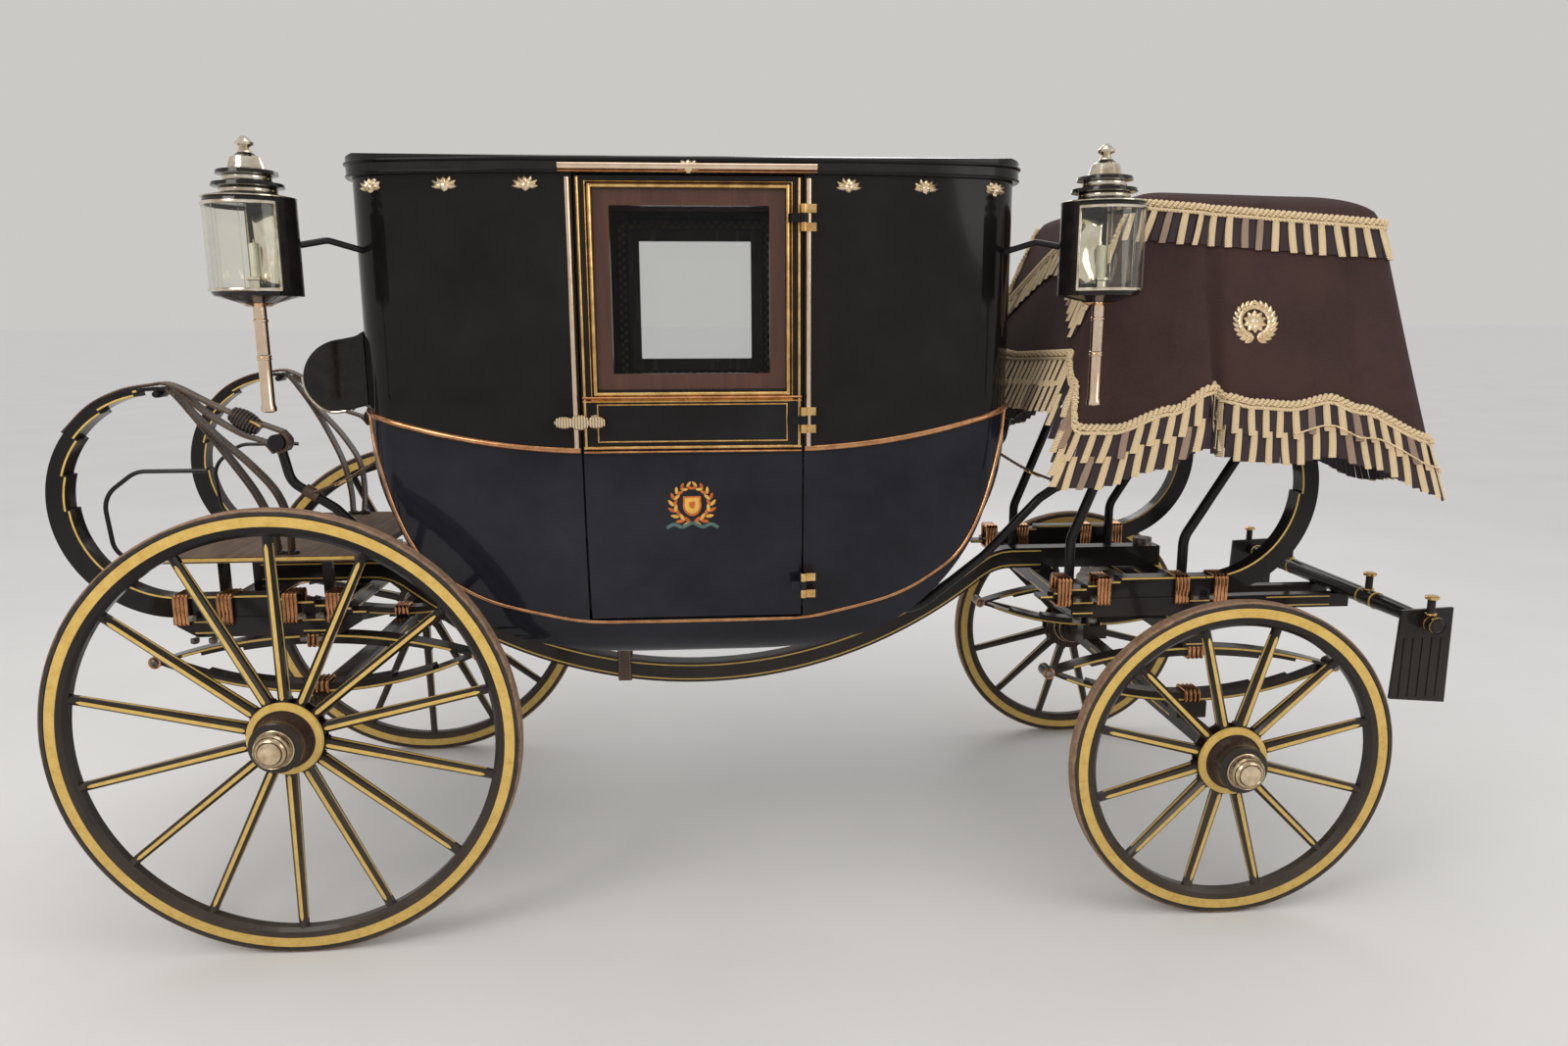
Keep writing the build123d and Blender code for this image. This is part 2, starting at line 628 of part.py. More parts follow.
def tyre(radius):
    half = TYRE_WIDTH / 2
    inner = radius - TYRE_THICK
    return turned([(inner, -half), (radius - 4, -half), (radius, -half + 5),
                   (radius, half - 5), (radius - 4, half), (inner, half)])


def felloe_and_spokes(radius, count, phase):
    outer = radius - TYRE_THICK - SEAM
    inner = outer - FELLOE_DEPTH
    half = FELLOE_WIDTH / 2
    rim = turned([(inner, -half + 9), (inner + 9, -half), (outer, -half),
                  (outer, half), (inner + 9, half), (inner, half - 9)])
    across, along = SPOKE_ROOT
    foot_end = FLANGE_RADIUS + 3
    foot_start = NAVE_RADIUS + SEAM
    foot = Pos((foot_start + foot_end) / 2, -DISH, 0) * Box(foot_end - foot_start, along, across)
    root = Plane((foot_end, -DISH, 0), z_dir=(1, 0, 0), x_dir=(0, 1, 0))
    tip = Plane((inner + 12, 0, 0), z_dir=(1, 0, 0), x_dir=(0, 1, 0))
    ends = []
    for plane, (across, along) in ((root, SPOKE_ROOT), (tip, SPOKE_TIP)):
        shape = Rectangle(along, across)
        ends.append(plane * chamfer(shape.vertices(), across * 0.28))
    spoke = foot + loft(ends, ruled=True)
    solid = rim
    for index in range(count):
        solid += Rot(0, -phase - 360 / count * index, 0) * spoke
    return solid


def hub():
    """Nave with a groove for the spokes' feet, its end band, the collar and a domed cap."""
    bore = ARM_RADIUS + PIN_PLAY
    back = -DISH - SPOKE_ROOT[1] / 2 - SEAM
    front = -DISH + SPOKE_ROOT[1] / 2 + SEAM
    collar = HUB_OUTER - CAP_LENGTH
    return turned([
        (bore, HUB_INNER), (54, HUB_INNER), (62, HUB_INNER + 6), (66, back - 12),
        (FLANGE_RADIUS - 5, back - 9), (FLANGE_RADIUS - 3, back), (NAVE_RADIUS, back), (NAVE_RADIUS, front),
        (FLANGE_RADIUS - 2, front), (FLANGE_RADIUS, front + 3), (FLANGE_RADIUS - 2, front + 8),
        (74, front + 12), (66, front + 26),
        (COLLAR_RADIUS - 6, collar - COLLAR_LENGTH - 4), (COLLAR_RADIUS, collar - COLLAR_LENGTH),
        (COLLAR_RADIUS, collar - 4), (COLLAR_RADIUS - 5, collar), (CAP_RADIUS, collar),
        (CAP_RADIUS, HUB_OUTER - 22), (CAP_RADIUS - 5, HUB_OUTER - 11), (CAP_RADIUS - 16, HUB_OUTER - 4),
        (CAP_RADIUS - 30, HUB_OUTER), (0, HUB_OUTER + 1), (0, HUB_OUTER - 30), (bore, HUB_OUTER - 30),
    ])


def at_wheel(piece, axle_x, radius, side):
    if side < 0:
        piece = mirror(piece, about=Plane.XZ)
    return Pos(axle_x, side * WHEEL_Y, radius) * piece


def axle(axle_x, radius, pad):
    """Square beam between round arms, with collars for the hubs and pads under the springs."""
    collar_out = WHEEL_Y + HUB_INNER - END_PLAY
    beam = Box(AXLE_SIDE, 2 * (collar_out - 12), AXLE_SIDE)
    beam = chamfer(beam.edges().filter_by(Axis.Y), 6)
    for side in SIDES:
        collar = Pos(0, side * (collar_out - 8), 0) * Rot(90, 0, 0) * Cylinder(44, 16)
        arm_end = WHEEL_Y + HUB_OUTER - 34
        arm = Rot(90, 0, 0) * Cylinder(ARM_RADIUS, arm_end - collar_out)
        beam += collar + Pos(0, side * (collar_out + arm_end) / 2, 0) * arm
        beam += Pos(0, side * SPRING_Y, AXLE_SIDE / 2 + pad / 2) * Box(90, BLOCK_WIDTH, pad)
    return Pos(axle_x, 0, radius) * beam


# Springs

def c_spring(end, centre_x):
    """Leaves laid inside one another round a C, with their straight tails stepped beneath."""
    spring = None
    for index, (reach, tail) in enumerate(C_LEAVES):
        outer = C_RADIUS - index * LEAF_THICK
        inner = outer - LEAF_THICK
        edges = []
        for radius in (outer, inner):
            middle, last = math.radians(reach / 2), math.radians(reach)
            edges.append(ThreePointArc(
                (0, -radius),
                (radius * math.sin(middle), -radius * math.cos(middle)),
                (radius * math.sin(last), -radius * math.cos(last)),
            ))
        tip = Line(edges[0] @ 1, edges[1] @ 1)
        ends = Polyline(edges[0] @ 0, (-tail, -outer), (-tail, -inner), edges[1] @ 0)
        face = make_face(Curve() + [edges[0], edges[1], tip, ends])
        leaf = side_prism(face, LEAF_WIDTH / 2)
        spring = leaf if spring is None else spring + leaf
    if end < 0:
        spring = mirror(spring, about=Plane.YZ)
    return Pos(centre_x, 0, C_CENTRE_Z) * spring


def at_springs(piece):
    return [Pos(0, side * SPRING_Y, 0) * piece for side in SIDES]


def elliptic_half(rise):
    """One bow of leaves between the eyes; the eyes lie at z = 0 and the bow rises or falls."""
    sign = 1 if rise > 0 else -1
    top = abs(rise)
    radius = (ELLIPTIC_HALF ** 2 + top ** 2) / (2 * top)
    bow = None
    for index, share in enumerate(ELLIPTIC_LEAVES):
        outer = radius - index * ELLIPTIC_LEAF
        inner = outer - ELLIPTIC_LEAF
        centre = top - radius
        angle = math.asin(ELLIPTIC_HALF * share / radius)
        arcs = []
        for r in (outer, inner):
            arcs.append(ThreePointArc(
                (-r * math.sin(angle), centre + r * math.cos(angle)),
                (0, centre + r),
                (r * math.sin(angle), centre + r * math.cos(angle)),
            ))
        ends = [Line(arcs[0] @ 0, arcs[1] @ 0), Line(arcs[0] @ 1, arcs[1] @ 1)]
        leaf = side_prism(make_face(Curve() + arcs + ends), LEAF_WIDTH / 2)
        bow = leaf if bow is None else bow + leaf
    if sign < 0:
        bow = mirror(bow, about=Plane.XY)
    return bow


def elliptic_spring():
    spring = elliptic_half(ELLIPTIC_HIGH) + elliptic_half(-ELLIPTIC_LOW)
    for side in SIDES:
        spring += Pos(side * ELLIPTIC_HALF, 0, 0) * Rot(90, 0, 0) * Cylinder(EYE_RADIUS, LEAF_WIDTH)
    return spring


# Perch, beds and what stands on them

def perch():
    """Compassed beam that dips under the body and rises to lie on the beds at both ends."""
    centre_z = PERCH_LOW + PERCH_RADIUS
    leave_x = PERCH_RADIUS * math.sin(PERCH_TURN)
    leave_z = centre_z - PERCH_RADIUS * math.cos(PERCH_TURN)
    front, rear = FRONT_AXLE_X + PERCH_PAST_BOLT, REAR_AXLE_X - HIND_SPREAD - BED_WIDTH / 2
    bow = ThreePointArc((-leave_x, leave_z), (0, PERCH_LOW), (leave_x, leave_z))
    rise = TangentArc(bow @ 1, (PERCH_LEVEL_X, PERCH_LEVEL), tangent=bow % 1)
    low = [bow, rise, mirror(rise, about=Plane.YZ)]
    low += [Line((PERCH_LEVEL_X, PERCH_LEVEL), (front, PERCH_LEVEL))]
    low += [Line((-PERCH_LEVEL_X, PERCH_LEVEL), (rear, PERCH_LEVEL))]
    high = [Pos(0, PERCH_DEPTH) * edge for edge in low]
    caps = [Line((x, PERCH_LEVEL), (x, PERCH_LEVEL + PERCH_DEPTH)) for x in (front, rear)]
    beam = side_prism(make_face(Curve() + low + high + caps), PERCH_WIDTH / 2)
    return beam - bolt_hole(SEAM)


def bolt_hole(play):
    return Pos(FRONT_AXLE_X, 0, 0) * Cylinder(BOLT_RADIUS + play, FAR)


def bed(axle_x, second_x, outer_x, inner_x):
    """Two cross beams joined by the blocks that the C-springs lie on."""
    frame = None
    for x in (axle_x, second_x):
        beam = block((x - BED_WIDTH / 2, x + BED_WIDTH / 2), (-BED_HALF, BED_HALF), (BED_BOTTOM, BED_TOP))
        frame = beam if frame is None else frame + beam
    for side in SIDES:
        y = side * SPRING_Y
        low, high = sorted((outer_x, inner_x))
        outline = Polyline(
            (low, BED_TOP), (high, BED_TOP), (high, BED_TOP - 18), (high - 60, BED_BOTTOM),
            (low + 60, BED_BOTTOM), (low, BED_TOP - 18), close=True,
        )
        frame += Pos(0, y, 0) * side_prism(make_face(outline), BLOCK_WIDTH / 2)
    return chamfer(frame.edges().filter_by(Axis.Y).group_by(Axis.Z)[0], 8)


def hind_bed():
    return bed(REAR_AXLE_X, REAR_AXLE_X - HIND_SPREAD, C_REAR_X - 20, REAR_AXLE_X + 130)


def front_transom():
    second = FRONT_AXLE_X - FRONT_SPREAD
    return bed(FRONT_AXLE_X, second, C_FRONT_X + 50, second - 60) - bolt_hole(SEAM)


def perch_bolt():
    """Bolt through perch, transom, plates and fore bed, with its head above and nut below."""
    head_z = PERCH_LEVEL + PERCH_DEPTH + SEAM
    nut_top = FRONT_SPRING_TOP - END_PLAY
    bolt = Cylinder(BOLT_RADIUS, head_z - nut_top + 10, align=(Align.CENTER, Align.CENTER, Align.MIN))
    bolt = Pos(0, 0, nut_top - 5) * bolt
    bolt += Pos(0, 0, head_z + 12) * Cylinder(30, 24)
    bolt += Pos(0, 0, nut_top - 14) * extrude(RegularPolygon(28, 6), amount=14)
    return Pos(FRONT_AXLE_X, 0, 0) * bolt


def wheel_plate(top):
    ring = Cylinder(PLATE_RADIUS, PLATE_THICK) - Cylinder(PLATE_RADIUS - PLATE_WIDTH, PLATE_THICK)
    return Pos(FRONT_AXLE_X, 0, top - PLATE_THICK / 2) * ring


def futchell_bar(play=0.0):
    """The left bar: beside the pole's socket in front, bent outward through the bed to the sway bar."""
    half = FUTCHELL_WIDTH / 2 + play
    rear, front = FRONT_AXLE_X - FUTCHELL_REACH, SPLINTER_X + 34
    edges = []
    for shift in (-half, half):
        straight = Line((front, FUTCHELL_SOCKET_Y + shift), (SPLINTER_X - 260, FUTCHELL_SOCKET_Y + shift))
        bend = TangentArc(straight @ 1, (FRONT_AXLE_X, FUTCHELL_BED_Y + shift), tangent=straight % 1)
        edges += [straight, bend, Line(bend @ 1, (rear, FUTCHELL_SWAY_Y + shift))]
    edges += [Line(edges[0] @ 0, edges[3] @ 0), Line(edges[2] @ 1, edges[5] @ 1)]
    deep = FUTCHELL_DEPTH + 2 * play
    return extrude(Pos(0, 0, FUTCHELL_Z - deep / 2) * make_face(Curve() + edges), amount=deep)


def futchells():
    """Two bars through the fore bed to the splinter bar, tied behind by the curved sway bar."""
    rear = FRONT_AXLE_X - FUTCHELL_REACH
    reach = FUTCHELL_SWAY_Y + 45
    outer = ThreePointArc((rear + 18, -reach), (rear - 16, 0), (rear + 18, reach))
    inner = Pos(SWAY_WIDTH, 0) * outer
    ends = [Line(outer @ 0, inner @ 0), Line(outer @ 1, inner @ 1)]
    face = Pos(0, 0, FUTCHELL_Z - FUTCHELL_DEPTH / 2) * make_face(Curve() + [outer, inner] + ends)
    return extrude(face, amount=FUTCHELL_DEPTH) + both_sides(futchell_bar())


def fore_bed():
    bed_x = (FRONT_AXLE_X - 40, FRONT_AXLE_X + 40)
    beam = block(bed_x, (-BED_HALF, BED_HALF), (FRONT_SPRING_TOP + SEAM, FORE_BED_TOP))
    beam -= both_sides(futchell_bar(SEAM))
    return beam - bolt_hole(PIN_PLAY)


def splinter_taper(play=0.0):
    """The bar between its end bands: radius and place along it."""
    tip, full, end = SPLINTER_TIP + play, SPLINTER_RADIUS + play, SPLINTER_HALF - SPLINTER_BAND
    return [(tip, -end), (full, -SPLINTER_FULL), (full, SPLINTER_FULL), (tip, end)]


def splinter_bar():
    """Round bar, thicker in the middle, with the roller bolts that take the traces."""
    band = SPLINTER_TIP + 3
    end_band = [(band, 4 - SPLINTER_BAND), (band, -6), (band - 7, 0), (0, 0)]
    head = [(radius, SPLINTER_HALF + along) for radius, along in end_band]
    foot = [(radius, -along) for radius, along in reversed(head)]
    bar = turned(foot + splinter_taper() + head)
    for y in ROLLER_BOLTS:
        bar += Pos(0, y, 0) * standing(ROLLER_RADIUS, ROLLER_HEIGHT)
        bar += Pos(0, y, ROLLER_HEIGHT - 4) * standing(ROLLER_RADIUS + 7, 8)
    return Pos(SPLINTER_X, 0, SPLINTER_Z) * bar


def step_plates():
    """Ribbed iron plates that hang from the ends of the splinter bar."""
    rear, front = SPLINTER_X - STEP_LENGTH / 2, SPLINTER_X + STEP_LENGTH / 2
    low, high = SPLINTER_Z - STEP_DROP, SPLINTER_Z + SPLINTER_RADIUS
    corners = ((rear + 10, high + 8), (front - 4, high + 14), (front, low), (rear, low + 14))
    outline = Polyline(*corners, close=True)
    plate = side_prism(make_face(outline), STEP_THICK / 2)
    for index in range(STEP_RIBS):
        x = rear + (index + 1) * STEP_LENGTH / (STEP_RIBS + 1)
        plate += block((x - 4, x + 4), (-8, 8), (low + 20, high - 76))
    taper = splinter_taper(SEAM)
    clearance = turned([(0, taper[0][1])] + taper + [(0, taper[-1][1])])
    return both_sides(Pos(0, STEP_Y, 0) * plate - Pos(SPLINTER_X, 0, SPLINTER_Z) * clearance)


def footmens_platform():
    """Board on four short legs, with a scroll iron curling up behind at each side."""
    half = PLATFORM_HALF_WIDTH
    board_bottom = PLATFORM_TOP - PLATFORM_THICK
    board = block((PLATFORM_REAR, PLATFORM_FRONT), (-half, half), (board_bottom, PLATFORM_TOP))
    board = fillet(board.edges().filter_by(Axis.Z), 30)
    for x in (REAR_AXLE_X, REAR_AXLE_X - HIND_SPREAD):
        for side in SIDES:
            leg = block((x - 14, x + 14), (-8, 8), (BED_TOP + SEAM, board_bottom + 2))
            board += Pos(0, side * (half - 60), 0) * leg
    for side in SIDES:
        y = side * (half - 20)
        middle = board_bottom + PLATFORM_THICK / 2
        scroll = [
            (PLATFORM_REAR + 40, y, middle), (PLATFORM_REAR - 90, y, middle),
            (PLATFORM_REAR - 105, y, middle + 180), (PLATFORM_REAR - 10, y, middle + SCROLL_RISE),
            (PLATFORM_REAR + 180, y, middle + SCROLL_RISE),
        ]
        board += rod(scroll, SCROLL_RADIUS, (60, 80, 80))
    return board


def loop_path(y):
    eye = (LOOP_EYE_X, y, LOOP_EYE_Z)
    return [
        eye, (LOOP_EYE_X - 22, y, LOOP_EYE_Z - 110), (LOOP_EYE_X - 135, y, LOOP_EYE_Z - 185),
        (LOOP_EYE_X - 290, y, LOOP_EYE_Z - 350), (LOOP_EYE_X - 480, y, REAR_EYE_Z + LOOP_OVER_SPRING),
        (LOOP_EYE_X - 750, y, BODY_BOTTOM + 70),
    ]


def body_loops(outside):
    """Forged irons from under the body out to the eyes that the braces hold."""
    loop = rod(loop_path(LOOP_Y), LOOP_BAR / 2, (60, 60, 120, 120))
    loop -= outside
    loop += loop_eye(0)
    return [copy for end in both_ends(loop) for copy in both_sides(end)]


def loop_eye(play):
    eye = Rot(90, 0, 0) * Cylinder(LOOP_BAR / 2 + 9 + play, LEAF_WIDTH + 2 * play)
    return Pos(LOOP_EYE_X, LOOP_Y, LOOP_EYE_Z) * eye


def leather_braces():
    """Straps from the tips of the C-springs down to the body loops."""
    straps = []
    for end, centre_x in ((-1, C_REAR_X), (1, C_FRONT_X)):
        reach = math.radians(C_LEAVES[0][0])
        tip_radius = C_RADIUS - LEAF_THICK
        tip_x = centre_x + end * tip_radius * math.sin(reach)
        tip_z = C_CENTRE_Z - tip_radius * math.cos(reach)
        eye_x = end * LOOP_EYE_X
        run = Vector(eye_x - tip_x, 0, LOOP_EYE_Z - tip_z)
        middle = Pos((eye_x + tip_x) / 2, SPRING_Y, (LOOP_EYE_Z + tip_z) / 2)
        slope = math.degrees(math.atan2(-run.Z, run.X))
        strap = middle * Rot(0, slope, 0) * Box(run.length, LEAF_WIDTH - 4, BRACE_THICK)
        strap -= Pos(0, SPRING_Y, 0) * c_spring(end, centre_x)
        eye = loop_eye(SEAM)
        strap -= eye if end > 0 else mirror(eye, about=Plane.YZ)
        straps += both_sides(strap)
    return straps


def check_strap(outside):
    """Leather loop from the body's bottom round the perch."""
    near = abs(CHECK_X) - CHECK_WIDTH / 2
    low = PERCH_LOW + PERCH_RADIUS - math.sqrt(PERCH_RADIUS ** 2 - near ** 2) - 0.3
    half = PERCH_WIDTH / 2 + 0.3
    x = (CHECK_X - CHECK_WIDTH / 2, CHECK_X + CHECK_WIDTH / 2)
    strap = block(x, (-half - 5, half + 5), (low - 5, BODY_BOTTOM + 40)) - block(x, (-half, half), (low, FAR))
    return strap - outside


def seat_frame():
    """Board of the coachman's seat on four bent irons from the beams below."""
    bottom = BOARD_TOP - BOARD_THICK
    half = BOARD_HALF_WIDTH
    frame = block((BOARD_REAR, BOARD_FRONT), (-half, half), (bottom, BOARD_TOP))
    legs = ((FRONT_AXLE_X - FRONT_SPREAD, BOARD_REAR + 60), (FRONT_AXLE_X, BOARD_FRONT - 60))
    for foot_x, head_x in legs:
        for side in SIDES:
            y = side * (half - 100)
            foot = BED_TOP + SEAM
            path = [(foot_x, y, foot), (foot_x, y, foot + 150), (head_x, y, bottom - 250)]
            frame += rod(path + [(head_x, y, bottom + 4)], 15, (80, 80))
            frame += Pos(foot_x, y, foot + 4) * Box(60, 60, 8)
    return frame


def coachman_cushion():
    top = CLOTH_TOP_Z - CLOTH_THICK - 0.3
    half = CLOTH_TOP[2] - CLOTH_THICK - 14
    cushion = block((CLOTH_TOP[0] + 26, CLOTH_TOP[1] - 26), (-half, half), (BOARD_TOP + 0.3, top))
    return fillet(cushion.edges().filter_by(Axis.Z), 25)


def flared_box(bottom, top, low, high, inset):
    faces = []
    for (rear, front, half), z in ((bottom, low), (top, high)):
        shape = Rectangle(front - rear - 2 * inset, 2 * (half - inset))
        faces.append(Pos((front + rear) / 2, 0, z) * shape)
    return loft(faces, ruled=True)


def hammercloth():
    """Cloth box over the seat, open below and flared to the hem."""
    outer = flared_box(CLOTH_BOTTOM, CLOTH_TOP, CLOTH_BOTTOM_Z, CLOTH_TOP_Z, 0)
    inner = flared_box(CLOTH_BOTTOM, CLOTH_TOP, CLOTH_BOTTOM_Z, CLOTH_TOP_Z, CLOTH_THICK)
    inner &= block((-FAR, FAR), (-FAR, FAR), (0, CLOTH_TOP_Z - CLOTH_THICK))
    return outer - inner


def build():
    shell = body_shell()
    cavity = body_solid(BODY_WALL + SEAM)
    outside = body_solid(-0.3)
    nodes = {
        "lower_body_panels": lower_panels(shell),
        "rear_upper_panels": upper_panels(shell, -1),
        "front_upper_panels": upper_panels(shell, 1),
        "roof_panel": roof_panel(),
        "floor_boards": floor_boards(),
        "seat_boxes": seat_boxes(cavity),
        "seat_cushions": seat_cushions(),
        "seat_backs": seat_backs(cavity),
        "sword_case": sword_case(),
        "door_hinges": [copy for pin in hinge_pins(outside) for copy in both_sides(pin)],
        "lamp_cases": at_lamps(lamp_case()),
        "lamp_glasses": at_lamps(lamp_glass()),
        "lamp_brackets": lamp_brackets(),
        "perch": perch(),
        "check_strap": check_strap(outside),
        "hind_axle": axle(REAR_AXLE_X, REAR_RADIUS, REAR_PAD),
        "hind_elliptic_springs": at_springs(Pos(REAR_AXLE_X, 0, REAR_EYE_Z) * elliptic_spring()),
        "hind_bed": hind_bed(),
        "hind_c_springs": at_springs(c_spring(-1, C_REAR_X)),
        "footmens_platform": footmens_platform(),
        "body_loops": body_loops(outside),
        "leather_braces": leather_braces(),
        "front_transom": front_transom(),
        "front_c_springs": at_springs(c_spring(1, C_FRONT_X)),
        "upper_wheel_plate": wheel_plate(UPPER_PLATE_TOP),
        "perch_bolt": perch_bolt(),
        "coachman_seat_frame": seat_frame(),
        "coachman_cushion": coachman_cushion(),
        "hammercloth": hammercloth(),
        "lower_wheel_plate": wheel_plate(LOWER_PLATE_TOP),
        "fore_bed": fore_bed(),
        "futchells": futchells(),
        "splinter_bar": splinter_bar(),
        "step_plates": step_plates(),
        "fore_axle": axle(FRONT_AXLE_X, FRONT_RADIUS, FRONT_PAD),
        "fore_elliptic_springs": at_springs(Pos(FRONT_AXLE_X, 0, FRONT_EYE_Z) * elliptic_spring()),
    }
    door = {
        "door": door_panel(shell),
        "door_sash": window_sash(),
        "door_glass": window_glass(),
        "door_handle": door_handle(),
    }
    for name, piece in door.items():
        nodes[f"right_{name}"] = piece
        nodes[f"left_{name}"] = mirror(piece, about=Plane.XZ)
    wheels = (
        ("rear", REAR_AXLE_X, REAR_RADIUS, REAR_SPOKES, REAR_PHASE),
        ("front", FRONT_AXLE_X, FRONT_RADIUS, FRONT_SPOKES, FRONT_PHASE),
    )
    for end, axle_x, radius, spokes, phase in wheels:
        pieces = {"tyre": tyre(radius), "wheel": felloe_and_spokes(radius, spokes, phase), "hub": hub()}
        for name, piece in pieces.items():
            nodes[f"{end}_right_{name}"] = at_wheel(piece, axle_x, radius, -1)
            nodes[f"{end}_left_{name}"] = at_wheel(piece, axle_x, radius, 1)
    return nodes


def write(nodes):
    os.makedirs("parts", exist_ok=True)
    for name, piece in nodes.items():
        if isinstance(piece, (list, tuple)):
            piece = Compound(children=[solid for item in piece for solid in item.solids()])
        export_step(Pos(-MIDDLE_X, 0, 0) * piece, f"parts/{name}.step")


if __name__ == "__main__":
    write(build())
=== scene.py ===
import math
import random

import bmesh
import bpy
from mathutils import Matrix, Vector, noise
from mathutils.bvhtree import BVHTree

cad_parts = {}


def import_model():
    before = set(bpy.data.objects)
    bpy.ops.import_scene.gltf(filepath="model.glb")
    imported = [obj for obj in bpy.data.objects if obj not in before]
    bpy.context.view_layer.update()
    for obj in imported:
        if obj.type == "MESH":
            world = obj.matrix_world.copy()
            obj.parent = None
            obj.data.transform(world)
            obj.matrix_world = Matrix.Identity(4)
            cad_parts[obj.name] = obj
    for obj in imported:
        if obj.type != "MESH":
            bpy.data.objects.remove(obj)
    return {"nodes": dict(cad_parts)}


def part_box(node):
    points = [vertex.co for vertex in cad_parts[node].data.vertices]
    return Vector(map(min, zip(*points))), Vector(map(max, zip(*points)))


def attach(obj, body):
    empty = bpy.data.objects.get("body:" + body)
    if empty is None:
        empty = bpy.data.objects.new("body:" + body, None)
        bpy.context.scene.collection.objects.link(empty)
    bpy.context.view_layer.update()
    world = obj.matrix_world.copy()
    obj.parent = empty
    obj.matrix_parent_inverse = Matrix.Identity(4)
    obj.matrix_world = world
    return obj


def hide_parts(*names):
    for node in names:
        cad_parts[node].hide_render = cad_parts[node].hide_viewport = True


# The dress coach's finish: paint, linings, mouldings, lamps' trim, cloth, leather and upholstery.
# Lengths are in metres. Along X they are given from the middle of the doors, as in the part's source,
# and at() moves them.

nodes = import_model()["nodes"]
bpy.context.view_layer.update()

MIDDLE_X = 0.2375
RIGHT, LEFT = -1, 1
SIDES = (RIGHT, LEFT)
ENDS = (-1, 1)
SIDE_NAMES = {RIGHT: "right", LEFT: "left"}
UP = Vector((0, 0, 1))

BODY_WALLS = ["lower_body_panels", "rear_upper_panels", "front_upper_panels"]
BODY_HALF_LENGTH = 0.865
BODY_HALF_WIDTH = 0.600
FLAT_SIDE = 0.310
CORNER_START = 0.105
QUARTER_SWEEP = 0.055
BELT_DOOR, BELT_FLAT, BELT_END = 1.325, 0.295, 1.425
BELT_BEAD = (0.017, 0.009)
DRIP_Y = BODY_HALF_WIDTH + 0.014
WINDOW_HALF, WINDOW_LOW, WINDOW_HIGH = 0.240, 1.475, 1.975
SPRING_Y = 0.400
LEAF_WIDTH = 0.050
# Each pair of wheels: the axle's X, the radius, the count of spokes and the first one's angle
WHEELS = {"rear": (-1.060, 0.600, 14, 90.0), "front": (1.470, 0.455, 12, 15.0)}


def at(x, y, z):
    return Vector((x - MIDDLE_X, y, z))


def other_end(point):
    """The same place at the other end of the body."""
    return Vector((-2 * MIDDLE_X - point.x, point.y, point.z))


# Materials

VARNISH_COAT = {"Coat_Weight": 0.10, "Coat_Roughness": 0.04, "Specular_IOR_Level": 0.16}
DUST_COLOUR = (0.10, 0.075, 0.055)
CREVICE = (0.01, 0.006, 0.004)
BLACK = (0.0060, 0.0052, 0.0050)
BLUE_BLACK = (0.0085, 0.009, 0.0135)


